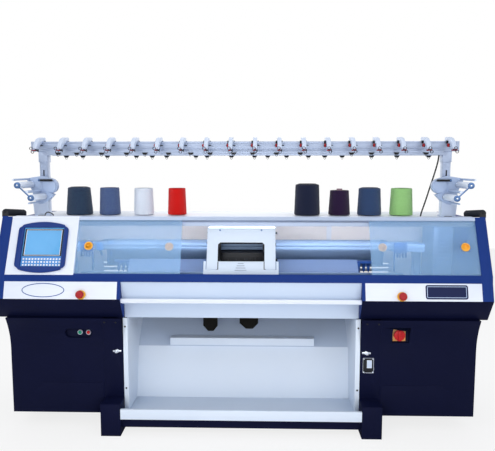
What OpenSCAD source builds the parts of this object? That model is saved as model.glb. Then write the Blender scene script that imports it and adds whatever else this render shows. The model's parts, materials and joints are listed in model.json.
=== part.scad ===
// Computerised flat knitting machine with two V-set needle beds, in millimetres.
// X runs along the needle beds, Y towards the back and Z up.
// The origin is on the floor, under the middle of the overall box.

/* [Body] */
// Width over the two hood ends
body_w = 2744; // [2640:8:2840]
// Depth from the nose of the hood to the rear cover
body_d = 866; // [866:2:980]
// Height of the hood's top front edge
hood_h = 1229; // [1215:1:1260]
// Height of the table for the cones
table_z = 1206; // [1190:1:1210]
// Clear width between the two legs
bay_w = 1352; // [1340:4:1440]
// Width of each leg and foot
leg_w = 112; // [90:2:130]
// Height of each foot
foot_h = 186; // [150:2:220]
// How far each foot reaches in front of its leg
foot_reach = 106; // [96:1:120]
// Height of the underside of the side cabinets
cabinet_z = 90; // [60:1:130]
// How far each side cabinet stands in from the hood end
cabinet_inset = 43; // [20:1:60]
// Thickness of the folded sheet covers
sheet = 4; // [3:0.5:5]
// How far the emergency stops stand in front of the nose
stop_proud = 42; // [36:1:46]

/* [Hood] */
// Height of the underside of the hood
chin_z = 665; // [650:1:675]
// Height of the sloping chin under the nose
chin_h = 122; // [112:1:130]
// How far the chin slopes back
chin_run = 75; // [60:1:85]
// Height of the pale strips on the nose
strip_h = 93; // [86:1:102]
// How far the pale strips lean back
strip_lean = 26; // [16:1:32]
// Height of the band under the windows
band_h = 37; // [30:1:44]
// How far the windows lean back from the band to the top
slope_run = 138; // [126:1:146]
// Width of each hood end cheek
cheek_w = 60; // [50:1:68]
// Width of the apron between the two hood ends
apron_w = 1330; // [1310:2:1340]
// Width of the console panel at the left of the windows
console_w = 385; // [360:1:400]
// Thickness of each sliding window
pane = 5; // [4:0.5:5]
// Overlap of neighbouring windows when they are shut
pane_overlap = 62; // [40:1:70]
// Height of the fold in the back panel of the bay
panel_fold_z = 403; // [380:1:430]

/* [Needle beds and carriage] */
// Length of each needle bed
bed_l = 1400; // [1380:10:1420]
// Height of the top of the V of the needle beds
apex_z = 950; // [944:1:954]
// Thickness of each needle bed
bed_t = 28; // [22:1:32]
// Gap between the two beds for the fabric
bed_gap = 8; // [6:1:12]
// Width of the carriage cover over its pillars
carriage_w = 388; // [370:2:410]
// Travel of the carriage to each side
carriage_travel = 670; // [600:1:672]
// Depth spacing of the feeder rails
rail_pitch = 30; // [26:1:30]
// Height of the underside of the feeder rails
rail_z = 1010; // [1006:1:1012]
// Height of each feeder rail
rail_h = 37; // [34:1:40]

/* [Yarn stand] */
// Height of the top face of the tension beam
beam_z = 1668; // [1600:1:1720]
// Length of the tension beam
beam_l = 2636; // [2600:4:2680]
// Height of the tension beam's section
beam_h = 61; // [54:1:68]
// Number of top tensioners
tensioners = 18; // [12:1:18]
// Distance of the outer tensioners from the beam's ends
tensioner_inset = 60; // [50:1:80]
// Width of each mast
mast_w = 48; // [40:1:54]
// Distance of the masts' middles from the beam's ends
mast_inset = 69; // [62:1:80]
// Radius of the yarn feed rollers at the sides
feed_r = 20; // [17:0.5:22]
// Radius of the black guide rollers on the cheeks
guide_r = 21; // [18:0.5:23]

/* [Hidden] */
$fn = 48;

// Colours of the finishes
navy = "#14183a";
blue = "#213a7d";
pale = "#e4ebf6";
steel = "#b7c3da";
black = "#16181c";

// Places along the depth
strip_a = atan(strip_lean / strip_h);
stop_s = 24;
stop_r = 22;
stop_bevel = 5;
stop_reach = stop_proud * cos(strip_a) + (stop_r - stop_bevel - stop_s) * sin(strip_a);
nose_y = (stop_reach - body_d) / 2;
rear_y = (stop_reach + body_d) / 2;
leg_y = nose_y + foot_reach;
rear_in = rear_y - sheet;
// Heights of the hood's front
nose_z = chin_z + chin_h;
strip_top = nose_z + strip_h;
band_top = strip_top + band_h;
// Widths from the middle
half_w = body_w / 2;
cheek_in = half_w - cheek_w;
leg_in = bay_w / 2;
leg_out = leg_in + leg_w;
cabinet_out = half_w - cabinet_inset;
apron_half = apron_w / 2;
wall_t = 17;
strip_in = apron_half + wall_t;
// The windows' slope
lip_y = nose_y + strip_lean + 4;
slope_top = lip_y + slope_run;
slope_a = atan(slope_run / (hood_h - band_top));
slope_len = norm([slope_run, hood_h - band_top]);
// The cheeks' top falls from the slope to the table's level at the machine's middle
fall_a = atan((hood_h - table_z) / -slope_top);
// The front rail of the carriage, behind the band
front_rail_y = lip_y + 64;

// Extrudes a profile drawn in Y and Z along X, centred
module along_x(w) {
    rotate([90, 0, 90]) linear_extrude(w, center = true) children();
}
// The same, from x0 to x1
module span_x(x0, x1) {
    translate([(x0 + x1) / 2, 0, 0]) along_x(x1 - x0) children();
}
// Extrudes a profile drawn in X and Z along Y, from y0 to y1
module span_y(y0, y1) {
    translate([0, y1, 0]) rotate([90, 0, 0]) linear_extrude(y1 - y0) children();
}
// A box from its lowest to its highest corner
module box(a, b) {
    translate(a) cube(b - a);
}
// A cylinder along Y from y0 to y1 at x, z
module rod_y(x, z, r, y0, y1) {
    translate([x, y0, z]) rotate([-90, 0, 0]) cylinder(r = r, h = y1 - y0);
}
// A cylinder along X from x0 to x1 at y, z
module rod_x(y, z, r, x0, x1) {
    translate([x0, y, z]) rotate([0, 90, 0]) cylinder(r = r, h = x1 - x0);
}
// The windows' frame: X as before, Y inwards from the slope, Z up along it
module on_slope() {
    translate([0, lip_y, band_top]) rotate([-slope_a, 0, 0]) children();
}
// The strips' frame: Y inwards from the strip, Z up along it
module on_strip() {
    translate([0, nose_y, nose_z]) rotate([-strip_a, 0, 0]) children();
}
// The frame of the cheeks' falling top: Y backwards along it, Z up from it
module on_fall() {
    translate([0, slope_top, hood_h]) rotate([-fall_a, 0, 0]) children();
}
// Repeats at both ends of the machine
module both_sides() {
    children();
    mirror([1, 0, 0]) children();
}

// Front of the legs and cabinets: upright, then flaring forwards under the hood
flare_h = 195;
flare_run = 56;
function flare(t) = [leg_y - flare_run * t * t, chin_z - flare_h * (1 - t)];
flare_pts = [for (i = [0:8]) flare(i / 8)];

// Legs, cabinets and lower covers
cover_t = 8;
cross_h = 58;
cross_z = 41;
module base_frame() {
    color(navy) {
        both_sides() {
            box([leg_in, nose_y, 0], [leg_out, rear_y - 46, foot_h]);
            difference() {
                box([leg_in, leg_y + cover_t, foot_h - 1], [leg_out, rear_in, chin_z]);
                rod_x(roller_y, roller_z, shaft_r + fit, leg_in - 1, leg_in + shaft_hold + 1);
            }
            span_x(bed_l / 2 - 18, bed_l / 2) polygon(bed_seat);
            box([min(bed_l / 2 - 18, leg_in), -60, chin_z - 1], [leg_in + 30, 60, chin_z + 30]);
        }
        box([-leg_in - 1, nose_y + 30, cross_z], [leg_in + 1, nose_y + 100, cross_z + cross_h]);
        box([-leg_in - 1, rear_y - 146, cross_z], [leg_in + 1, rear_y - 86, cross_z + cross_h]);
    }
}

// Covers in front of the legs, folded to the same flare as the cabinets
module column_covers() {
    back = leg_y + cover_t;
    outline = concat(
        [[back, foot_h], [leg_y, foot_h]], flare_pts,
        [[leg_y - flare_run + sheet, chin_z]],
        [for (i = [8:-1:0]) flare(i / 8) + [sheet, 0]],
        [[leg_y + sheet, chin_z - flare_h - 20], [back, chin_z - flare_h - 20]]);
    color(navy) both_sides() difference() {
        span_x(leg_in, leg_out) polygon(outline);
        rod_y(latch_x, latch_z, latch_r + fit, leg_y - 1, back + 1);
    }
}

cabinet_back = rear_y - 66;
groove_z = 270;
groove_l = 337;
vent_y0 = 60;
vent_in = 84;
module cabinet() {
    outline = concat([[cabinet_back, cabinet_z], [leg_y, cabinet_z]], flare_pts,
        [[cabinet_back, chin_z]]);
    difference() {
        span_x(leg_out, cabinet_out) polygon(outline);
        box([leg_out + 20, leg_y - 1, groove_z], [leg_out + 20 + groove_l, leg_y + 2, groove_z + 3]);
        for (z = [cabinet_z + 60:22:cabinet_z + 240])
            box([cabinet_out - 3, vent_y0, z], [cabinet_out + 1, cabinet_back - vent_in, z + 8]);
    }
}

// Sunk oblong of the start buttons
button_z = 567;
button_x = [926, 877];
sink_x0 = 852;
sink_l = 154;
sink_r = 28.5;
sink_d = 14;
button_r = 12;
module cabinet_left() {
    color(navy) mirror([1, 0, 0]) difference() {
        cabinet();
        span_y(leg_y - 40, leg_y + sink_d) {
            translate([sink_x0 + sink_r, button_z - sink_r]) square([sink_l - 2 * sink_r, 2 * sink_r]);
            for (x = [sink_x0 + sink_r, sink_x0 + sink_l - sink_r]) translate([x, button_z]) circle(sink_r);
        }
        for (x = button_x) rod_y(x, button_z, button_r - 3.6, leg_y, leg_y + sink_d + 20);
    }
}

// Square pocket of the main switch
switch_x = 896;
switch_z = 565;
plate_w = 72;
pocket = 6;
module cabinet_right() {
    color(navy) difference() {
        cabinet();
        box([switch_x - plate_w / 2 - pocket, leg_y - 40, switch_z - plate_w / 2 - pocket],
            [switch_x + plate_w / 2 + 3 * pocket, leg_y + sink_d, switch_z + plate_w / 2 + 2.5 * pocket]);
    }
}

module main_switch_plate() {
    color("#e8b06a") difference() {
        box([switch_x - plate_w / 2, leg_y + sink_d - 5, switch_z - plate_w / 2],
            [switch_x + plate_w / 2, leg_y + sink_d, switch_z + plate_w / 2]);
        rod_y(switch_x, switch_z, 7.05, leg_y, leg_y + sink_d + 1);
    }
}
knob_r = 32;
module main_switch_knob() {
    front = leg_y + sink_d - 5.4;
    color("#c4161c") {
        difference() {
            rod_y(switch_x, switch_z, knob_r, front - 14, front);
            for (a = [0:30:330])
                translate([switch_x + (knob_r + 2) * cos(a), 0, switch_z + (knob_r + 2) * sin(a)])
                    rod_y(0, 0, 4, front - 15, front + 1);
        }
        box(
            [switch_x - 7, front - 24, switch_z - knob_r + 3],
            [switch_x + 7, front - 13, switch_z + knob_r - 3]);
        rod_y(switch_x, switch_z, 7, front - 1, front + 4.4);
    }
}

module push_button(x) {
    rod_y(-x, button_z, button_r - 4, leg_y + sink_d - 9, leg_y + sink_d + 8);
    rod_y(-x, button_z, button_r - 2, leg_y + sink_d - 13, leg_y + sink_d - 8);
}
module start_button() {
    color("#1f8f6a") push_button(button_x[0]);
}
module halt_button() {
    color("#c4161c") push_button(button_x[1]);
}

// Quarter-turn latches on the leg covers
latch_x = leg_in + 35;
latch_z = 462;
latch_r = 9;
module cover_latch() {
    rod_y(latch_x, latch_z, latch_r, leg_y - 4, leg_y + cover_t - 1);
    translate([latch_x, leg_y - 7, latch_z]) {
        rod_y(0, 0, 11, -1, 3);
        box([-24, -1, -5], [24, 2.6, 5]);
        box([-4, -10, -9], [10, 0, 9]);
    }
}
module cover_latch_left() {
    color(steel) mirror([1, 0, 0]) cover_latch();
}
module cover_latch_right() {
    color(steel) cover_latch();
}

// Hood
chin_back = leg_y - 2;
lip_t = 4;
ear_t = 6;
guide_x = half_w - 13;
guide_y0 = 8;
guide_l = 240;
guide_z = guide_r + 2;
module hood_end() {
    cheek = [
        [nose_y, nose_z], [nose_y + chin_run, chin_z], [rear_y, chin_z], [rear_y, table_z], [0, table_z],
        [slope_top, hood_h], [lip_y, band_top], [nose_y + strip_lean, strip_top]
    ];
    chin = [
        [nose_y, nose_z], [nose_y + chin_run, chin_z], [chin_back, chin_z], [chin_back, chin_z + sheet],
        [nose_y + chin_run + 2, chin_z + sheet], [nose_y + 8, nose_z - lip_t],
        [nose_y + 22, nose_z - lip_t], [nose_y + 22, nose_z]
    ];
    inner_wall = [
        [nose_y, nose_z], [nose_y + chin_run, chin_z], [chin_back, chin_z], [chin_back, strip_top],
        [nose_y + strip_lean, strip_top]
    ];
    ear = guide_r * 0.8;
    color(blue) {
        span_x(cheek_in, half_w) polygon(cheek);
        span_x(strip_in - 1, cheek_in + 1) polygon(chin);
        difference() {
            span_x(apron_half, strip_in) polygon(inner_wall);
            rod_x(bar_y, bar_z, bar_pin_r + 0.05, apron_half - 1, apron_half + 14);
        }
    }
    color(black) on_fall() for (y = [guide_y0 - ear_t - 0.4, guide_y0 + guide_l + 0.4]) difference() {
        box([guide_x - ear, y, -2], [guide_x + ear, y + ear_t, guide_z + 8]);
        rod_y(guide_x, guide_z, guide_pin_r + 0.05, y - 1, y + ear_t + 1);
    }
}
module hood_end_left() {
    mirror([1, 0, 0]) hood_end();
}
module hood_end_right() {
    hood_end();
}

guide_pin_r = 5;
module guide_roller() {
    color(black) on_fall() {
        rod_y(guide_x, guide_z, guide_r, guide_y0, guide_y0 + guide_l);
        rod_y(guide_x, guide_z, guide_pin_r, guide_y0 - ear_t, guide_y0 + guide_l + ear_t);
    }
}
module guide_roller_left() {
    mirror([1, 0, 0]) guide_roller();
}
module guide_roller_right() {
    guide_roller();
}

// Window track: three fins that hold two rows of panes, drawn at the slope's foot
fin_h = 8;
fin_t = 2;
play = 0.4;
row_pitch = pane + 2 * play + 5;
track_d = 2 * fin_t + row_pitch + pane + 2 * play;
win_x0 = -cheek_in + console_w;
win_x1 = cheek_in;
shelf_back = front_rail_y + 22;
module fins(s) {
    slot_w = pane + 2 * play;
    for (f = [[0, fin_t], [fin_t + slot_w, fin_t + row_pitch], [track_d - fin_t, track_d]])
        translate([0, f[0], s]) box([win_x0, 0, 0], [win_x1, f[1] - f[0], fin_h]);
}
module front_band() {
    inward = track_d * [cos(slope_a), -sin(slope_a)];
    color(blue) span_x(-cheek_in, cheek_in) polygon([
        [nose_y + strip_lean, strip_top], [lip_y, band_top], [lip_y, band_top] + inward,
        [lip_y + inward[0], strip_top + sheet], [shelf_back, strip_top + sheet], [shelf_back, strip_top]
    ]);
    color(steel) on_slope() fins(-0.01);
}

top_depth = 58;
top_low = 55;
module top_rail() {
    p1 = [lip_y, band_top] + (slope_len - fin_h - 4) * [sin(slope_a), cos(slope_a)];
    p2 = p1 + track_d * [cos(slope_a), -sin(slope_a)];
    color(steel) {
        span_x(-cheek_in, cheek_in) polygon([
            [slope_top, hood_h], [slope_top + top_depth, hood_h], [slope_top + top_depth, hood_h - top_low],
            [p2[0] + 10, hood_h - top_low], [p2[0] + 10, hood_h - 34], p2, p1
        ]);
        on_slope() fins(slope_len - 2 * fin_h - 3.99);
    }
}

// Sliding windows in two rows, each with a round finger pull
pane_s0 = 0.4;
pane_s1 = slope_len - fin_h - 6;
// Each pair of windows covers half of the opening when it is drawn shut
door_w = ((win_x1 - win_x0) / 2 - 2 + pane_overlap) / 2;
pull_r = 24;
pull_s = 168;
pull_in = 68;
module window(x0, row, pull_x) {
    y = fin_t + play + row * row_pitch;
    color([0.62, 0.8, 0.95, 0.45]) on_slope() difference() {
        box([x0, y, pane_s0], [x0 + door_w, y + pane, pane_s1]);
        translate([pull_x, y - 1, pull_s]) rotate([-90, 0, 0]) cylinder(r = pull_r - 4, h = pane + 2);
    }
    color("#f2a020") on_slope() translate([pull_x, 0, pull_s]) difference() {
        union() {
            rod_y(0, 0, pull_r, y - 3, y);
            rod_y(0, 0, pull_r - 4, y - 1, y + pane + 1);
        }
        rod_y(0, 0, pull_r - 7, y - 4, y + pane - 1);
    }
}
left_x = win_x0 + 1;
right_x = win_x1 - 1 - door_w;
module window_left_front() {
    window(left_x, 0, left_x + pull_in);
}
module window_left_rear() {
    window(left_x, 1, left_x + door_w - pull_in);
}
module window_right_front() {
    window(right_x, 0, right_x + door_w - pull_in);
}
module window_right_rear() {
    window(right_x, 1, right_x + pull_in);
}

// Pale strips between the chin and the band, with holes for the emergency stops
stop_x = 877;
stem_r = 9;
collar_t = 17;
flange = 18;
module nose_strips() {
    wall = sheet / cos(strip_a);
    lean = strip_lean / strip_h;
    color(pale) both_sides() difference() {
        span_x(strip_in, cheek_in) polygon([
            [nose_y, nose_z], [nose_y + flange, nose_z], [nose_y + flange, nose_z + sheet],
            [nose_y + wall + sheet * lean, nose_z + sheet],
            [nose_y + wall + strip_lean - sheet * lean, strip_top - sheet],
            [nose_y + strip_lean + flange, strip_top - sheet], [nose_y + strip_lean + flange, strip_top],
            [nose_y + strip_lean, strip_top]
        ]);
        on_strip() rod_y(stop_x, stop_s, stem_r + 1, -1, sheet + 1);
    }
}
module stop_collars() {
    color("#f2b020") both_sides() on_strip() difference() {
        rod_y(stop_x, stop_s, stop_r + 3, -collar_t, 0);
        rod_y(stop_x, stop_s, stem_r + 0.3, -collar_t - 1, 1);
    }
}
module stop_button(x) {
    bevel_y = stop_bevel - stop_proud;
    color("#c4161c") on_strip() {
        translate([x, bevel_y, stop_s]) rotate([90, 0, 0])
            cylinder(r1 = stop_r, r2 = stop_r - stop_bevel, h = stop_bevel);
        rod_y(x, stop_s, stop_r, bevel_y, bevel_y + 13);
        rod_y(x, stop_s, stem_r, bevel_y + 12, sheet + 6);
    }
}
module stop_button_left() {
    stop_button(-stop_x);
}
module stop_button_right() {
    stop_button(stop_x);
}

// Apron between the hood ends, folded round the start bar
apron_low = chin_z - 7;
fold_y = nose_y + 50;
fold_z = nose_z - 1;
ledge_z = nose_z - 38;
apron_y = leg_y + 2;
module apron() {
    s = sheet;
    color(pale) span_x(-apron_half, apron_half) polygon([
        [lip_y + 2, strip_top], [fold_y, fold_z], [fold_y + 8, ledge_z], [apron_y, ledge_z],
        [apron_y, apron_low], [apron_y + 14, apron_low], [apron_y + 14, apron_low + s],
        [apron_y + s, apron_low + s], [apron_y + s, ledge_z + s], [fold_y + 8 + s, ledge_z + s],
        [fold_y + s, fold_z], [lip_y + 3 + s, strip_top]
    ]);
}

// Start bar along the front: turns a little on a pin at each end
bar_y = nose_y + 26;
bar_z = nose_z - 13;
bar_pin_r = 6;
bar_end = apron_half - 1;
module start_bar() {
    color(pale) {
        difference() {
            span_x(-bar_end, bar_end) polygon([
                [bar_y - 9, bar_z - 8], [bar_y - 6, bar_z - 12], [bar_y + 6, bar_z - 12],
                [bar_y + 8, bar_z - 9], [bar_y + 8, bar_z + 9], [bar_y + 5, bar_z + 12],
                [bar_y - 6, bar_z + 12], [bar_y - 9, bar_z + 8]
            ]);
            box([-bar_end - 1, bar_y - 10, bar_z - 2], [bar_end + 1, bar_y - 7.5, bar_z + 1]);
        }
        both_sides() rod_x(bar_y, bar_z, bar_pin_r, bar_end - 1, apron_half + 13);
    }
}

// Open bay under the beds
liner_in = leg_in - 26;
liner_t = 3;
tray_z = cross_z + cross_h;
// The back panel: from the tray up to its fold, then back and up under the rear bed
panel_fold_y = leg_y + 276;
back_pts = [
    [leg_y + 204, tray_z + liner_t], [panel_fold_y, panel_fold_z],
    [panel_fold_y + 126, panel_fold_z + 141], [panel_fold_y + 176, panel_fold_z + 196]
];
panel_lip_x = [-450, 440];
panel_lip_h = 47;
module bay_liner() {
    t = liner_t;
    up = chin_z - 10;
    color(pale) {
        both_sides() difference() {
            union() {
                box([liner_in, leg_y, tray_z + t], [leg_in, leg_y + t, up]);
                span_x(liner_in, liner_in + t) polygon(concat(
                    [[leg_y, tray_z + t]], [for (b = back_pts) b + [2, 0]],
                    [[back_pts[3][0] + 2, up], [leg_y, up]]));
            }
            rod_x(roller_y, roller_z, shaft_r + 2, liner_in - 1, liner_in + t + 1);
        }
        span_x(-liner_in - 1, liner_in + 1) polygon(concat(
            back_pts, [for (i = [3:-1:0]) back_pts[i] + [t + 1, 0]]));
        // Lip along the fold of the back panel
        span_x(panel_lip_x[0], panel_lip_x[1]) polygon([
            back_pts[1] + [5.5, 4], back_pts[1] + [-14, 9], back_pts[1] + [-14, panel_lip_h + 7],
            back_pts[1] + [-10, panel_lip_h + 9], back_pts[1] + [panel_lip_h + 3, panel_lip_h + 7]
        ]);
    }
}
lip_h = 58;
tray_back = back_pts[0][0] + 126;
module cloth_tray() {
    t = liner_t;
    color(pale) along_x(2 * leg_in - 0.6) polygon([
        [nose_y, tray_z], [tray_back, tray_z], [tray_back, tray_z + t], [nose_y + t, tray_z + t],
        [nose_y + t, tray_z + lip_h - t], [nose_y + 16, tray_z + lip_h - t], [nose_y + 16, tray_z + lip_h],
        [nose_y, tray_z + lip_h]
    ]);
}

// Needle beds in a V, their rails and the take-down roller
bed_run = 256;
gap_h = bed_gap / 2;
under = bed_t * sqrt(2);
bed_seat = [
    [-bed_run + under / 2, apex_z - bed_run - under / 2], [-gap_h, apex_z - gap_h - under],
    [gap_h, apex_z - gap_h - under], [bed_run - under / 2, apex_z - bed_run - under / 2],
    [bed_run - under / 2, chin_z - 1], [-bed_run + under / 2, chin_z - 1]
];
module needle_bed() {
    slot = 40;
    color(steel) difference() {
        along_x(bed_l) polygon([
            [-gap_h, apex_z - gap_h], [-bed_run, apex_z - bed_run],
            [-bed_run + under / 2, apex_z - bed_run - under / 2], [-gap_h, apex_z - gap_h - under]
        ]);
        // Comb of sinker slots at the mouth of the bed
        for (x = [-bed_l / 2 + slot / 2:slot:bed_l / 2 - slot / 2])
            translate([x, -gap_h, apex_z - gap_h]) rotate([-45, 0, 0]) cube([2, 16, 8], center = true);
        // Groove of the needle retaining strip
        translate([0, -gap_h - 110, apex_z - gap_h - 110]) rotate([45, 0, 0])
            cube([bed_l + 2, 12, 4], center = true);
    }
}
module needle_bed_front() {
    needle_bed();
}
module needle_bed_rear() {
    mirror([0, 1, 0]) needle_bed();
}

base_half = carriage_w / 2 + 17;
rail_end = carriage_travel + base_half + 24;
rear_rail_y = 262;
rear_rail_top = rail_z + 20;
rail_t = 8;
module guide_rails() {
    color(steel) {
        difference() {
            box([-rail_end, front_rail_y, strip_top + sheet], [rail_end, front_rail_y + 16, band_top + 5]);
            box(
                [-rail_end - 1, front_rail_y - 1, strip_top + 20],
                [rail_end + 1, front_rail_y + 4, strip_top + 28]);
        }
        box([-rail_end, rear_rail_y, apex_z - 90], [rail_end, rear_rail_y + 30, rear_rail_top]);
        // Feeder rails, each with a groove along both sides
        for (i = [-1.5:1:1.5]) difference() {
            box([-rail_end, i * rail_pitch - rail_t / 2, rail_z],
                [rail_end, i * rail_pitch + rail_t / 2, rail_z + rail_h]);
            for (s = [-1, 1]) translate([0, i * rail_pitch + s * rail_t / 2, rail_z + rail_h / 2])
                cube([2 * rail_end + 2, 3, 6], center = true);
        }
    }
}
bracket_l = 185;
module rail_brackets() {
    w = 1.5 * rail_pitch + 27;
    leg_x = rail_end + bracket_l - 50;
    color(steel) both_sides() {
        difference() {
            box([rail_end, -w, rail_z - 6], [rail_end + bracket_l, w, rail_z + rail_h + 2]);
            for (x = [rail_end + 90, rail_end + 155]) rod_y(x, rail_z + 10, 7, -w - 1, -w + 5);
        }
        for (x = [rail_end + 90, rail_end + 155]) rod_y(x, rail_z + 10, 6, -w + 1, -w + 6);
        box([leg_x, -30, chin_z], [leg_x + 40, 30, rail_z - 5]);
        box([rail_end, w - 1, rear_rail_top - 33], [rail_end + 30, rear_rail_y + 30, rear_rail_top]);
        box([rail_end, rear_rail_y, apex_z - 90], [rail_end + 12, rear_rail_y + 30, rear_rail_top - 32]);
    }
}

// Yarn clamps and cutters at each end of the beds
module yarn_clamps() {
    x0 = bed_l / 2;
    color("#2c4f8f") both_sides() {
        box([x0, -28, apex_z - 80], [x0 + 16, 28, apex_z - 12]);
        box([x0 + 15, -24, apex_z - 26], [x0 + 96, 24, apex_z - 12]);
        for (x = [x0 + 30, x0 + 58]) span_y(-18, -6) polygon([
            [x, apex_z - 25], [x + 20, apex_z - 25], [x + 17, apex_z - 66], [x + 11, apex_z - 82],
            [x + 4, apex_z - 66]
        ]);
        for (x = [x0 + 30, x0 + 58]) span_y(4, 14) polygon([
            [x, apex_z - 25], [x + 20, apex_z - 25], [x + 14, apex_z - 58], [x + 6, apex_z - 58]
        ]);
    }
}

drive_w = 122;
drive_x0 = cheek_in - drive_w;
drive_y0 = 90;
module drive_cover() {
    color("#3d5f9f") difference() {
        span_y(drive_y0, rear_y - 122) polygon([
            [drive_x0, chin_z], [cheek_in, chin_z], [cheek_in, hood_h - 66], [drive_x0 + 30, hood_h - 66],
            [drive_x0, hood_h - 96]
        ]);
        for (z = [apex_z - 30:24:hood_h - 120])
            box([drive_x0 + 35, drive_y0 - 1, z], [cheek_in - 20, drive_y0 + 3, z + 8]);
    }
}

fit = 0.05;
roller_y = -60;
roller_z = 628;
roller_r = 24;
shaft_r = 12;
shaft_hold = 20;
module take_down_roller() {
    color("#2a2d33") {
        for (x = [-600:150:450]) rod_x(roller_y, roller_z, roller_r, x + 8, x + 142);
        rod_x(roller_y, roller_z, shaft_r, -leg_in - shaft_hold, leg_in + shaft_hold);
    }
}
// Two short pieces of knitting that hang from the roller: left edge, right edge and lowest point
pieces = [[-242, -148, 516], [-20, 99, 532]];
module knitted_pieces() {
    y = roller_y - roller_r - 0.5;
    color(black) for (p = pieces) span_y(y - 3, y) polygon([
        [p[0] + 6, roller_z + 14], [p[1], roller_z + 14], [p[1] - 8, p[2] + 34],
        [p[1] - 34, p[2]], [p[0] + 30, p[2] + 2], [p[0], p[2] + 36]
    ]);
}

// Carriage: a bridge over the beds and the feeder rails
base_low = strip_top + 19;
base_top = band_top + 65;
base_y = lip_y + 40;
fascia_y = lip_y + 81;
crown_y = lip_y + 157;
crown_z = hood_h - 69;
crown_back = 300;
portal = 72;
arch_half = 132;
arch_top = crown_z - 75;
module carriage_cover() {
    t = 8;
    hw = carriage_w / 2;
    step = 4;
    slope = (base_top - base_low) / (fascia_y - base_y);
    color(pale) {
        // Base plate along the bottom, split from the pillars by two slits
        difference() {
            along_x(2 * base_half) polygon([
                [base_y, base_low], [fascia_y, base_top], [fascia_y + t, base_top], [base_y + t, base_low]
            ]);
            for (s = [-1, 1]) translate([s * (arch_half + 4), 0, 0])
                box([-2.5, base_y - 5, base_low + 40], [2.5, fascia_y + 12, base_top + 1]);
            for (s = [-1, 1]) translate([s * (hw + 2), 0, 0])
                box([-2, base_y - 5, base_low + 40], [2, fascia_y + 12, base_top + 1]);
        }
        // Finger grip of four raised ribs
        for (i = [0:3]) {
            z = base_low + 30 + 10 * i;
            y = base_y + (z - base_low) / slope;
            along_x(56 - 9 * i) polygon([[y - 2, z], [y + 3, z], [y + 5, z + 4], [y, z + 4]]);
        }
        // Pillars and top of the arch
        difference() {
            along_x(2 * hw) polygon([
                [fascia_y - step, base_top - 2], [crown_y - step, crown_z], [crown_y + t, crown_z],
                [fascia_y + t, base_top - 2]
            ]);
            span_y(fascia_y - 30, crown_y + 30) polygon([
                [-arch_half, base_top - 10], [-arch_half, arch_top - 12], [-arch_half + 12, arch_top],
                [arch_half - 12, arch_top], [arch_half, arch_top - 12], [arch_half, base_top - 10]
            ]);
        }
        for (s = [-1, 1]) translate([s * (hw + arch_half) / 2, 0, 0])
            along_x(hw - arch_half) polygon([
                [base_y + (44 / slope) - step, base_low + 44], [fascia_y - step, base_top],
                [fascia_y + 2, base_top], [base_y + (44 / slope) + 2, base_low + 44]
            ]);
        // Top plate, side walls and rear face
        along_x(2 * hw) polygon([
            [crown_y, crown_z], [crown_back, crown_z], [crown_back, crown_z - 10], [crown_y, crown_z - 10]
        ]);
        for (s = [-1, 1]) translate([s * (hw - 4), 0, 0]) along_x(8) {
            polygon([
                [fascia_y + t - 1, base_top - 10], [crown_y + 1, crown_z - 5], [-portal - 4, crown_z - 5],
                [-portal - 4, rail_z + 10], [-150, apex_z - 5], [front_rail_y + 20, band_top + 16],
                [fascia_y - 4, band_top + 16]
            ]);
            polygon([
                [portal + 4, crown_z - 5], [crown_back - 1, crown_z - 5],
                [crown_back + 30, rear_rail_top + 22], [portal + 4, rear_rail_top + 22]
            ]);
        }
        along_x(2 * hw) polygon([
            [crown_back, crown_z], [crown_back + 40, rear_rail_top + 20],
            [crown_back + 32, rear_rail_top + 20], [crown_back - 8, crown_z]
        ]);
    }
}
bridge_low = rail_z + rail_h + 8;
shoe_z = band_top + 5.4;
module carriage_cam_box() {
    hw = carriage_w / 2 - 25;
    lift = 12;
    cam_in = portal - 10;
    cam_out = 250;
    color(black) {
        for (m = [0, 1]) mirror([0, m, 0]) {
            along_x(2 * hw) polygon([
                [-cam_in, apex_z + lift - cam_in], [-cam_in, rail_z - 4], [-cam_in - 68, rail_z - 4],
                [-cam_out, rail_z + 64 - cam_out], [-cam_out, apex_z + lift - cam_out]
            ]);
            for (s = [-1, 1]) translate([s * (hw - 12), 0, 0])
                box([-8, -cam_in - 44, rail_z - 14], [8, -cam_in - 4, bridge_low + 20]);
            // Selector heads on the slope of the box
            for (x = [-96:48:96]) translate([x, -cam_in - 118, rail_z - 60]) rotate([56, 0, 0])
                cube([30, 60, 28], center = true);
        }
        box([-hw, -cam_in - 48, bridge_low], [hw, cam_in + 48, crown_z - 10]);
        // Arms out to the shoes that slide on the front and rear rails
        for (s = [-1, 1]) translate([s * (hw - 30), 0, 0]) along_x(34) {
            polygon([
                [-cam_in - 40, crown_z - 30], [front_rail_y + 30, band_top + 52],
                [front_rail_y + 8, band_top + 24],
                [front_rail_y - 1, shoe_z + 6], [front_rail_y - 1, shoe_z],
                [front_rail_y + 17, shoe_z], [front_rail_y + 17, band_top + 22],
                [front_rail_y + 60, band_top + 34], [-cam_in - 40, bridge_low + 14]
            ]);
            polygon([
                [cam_in + 40, crown_z - 30], [cam_in + 40, bridge_low + 14],
                [rear_rail_y, rear_rail_top + 0.4], [rear_rail_y + 30, rear_rail_top + 0.4],
                [rear_rail_y + 30, rear_rail_top + 30]
            ]);
        }
        // Rubber bumpers at each side
        for (s = [-1, 1]) for (z = [rail_z + 54, rail_z + 120])
            translate([s * (carriage_w / 2 + 3), -180, z]) rod_x(0, 0, 8, -3, 3);
    }
}

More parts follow.
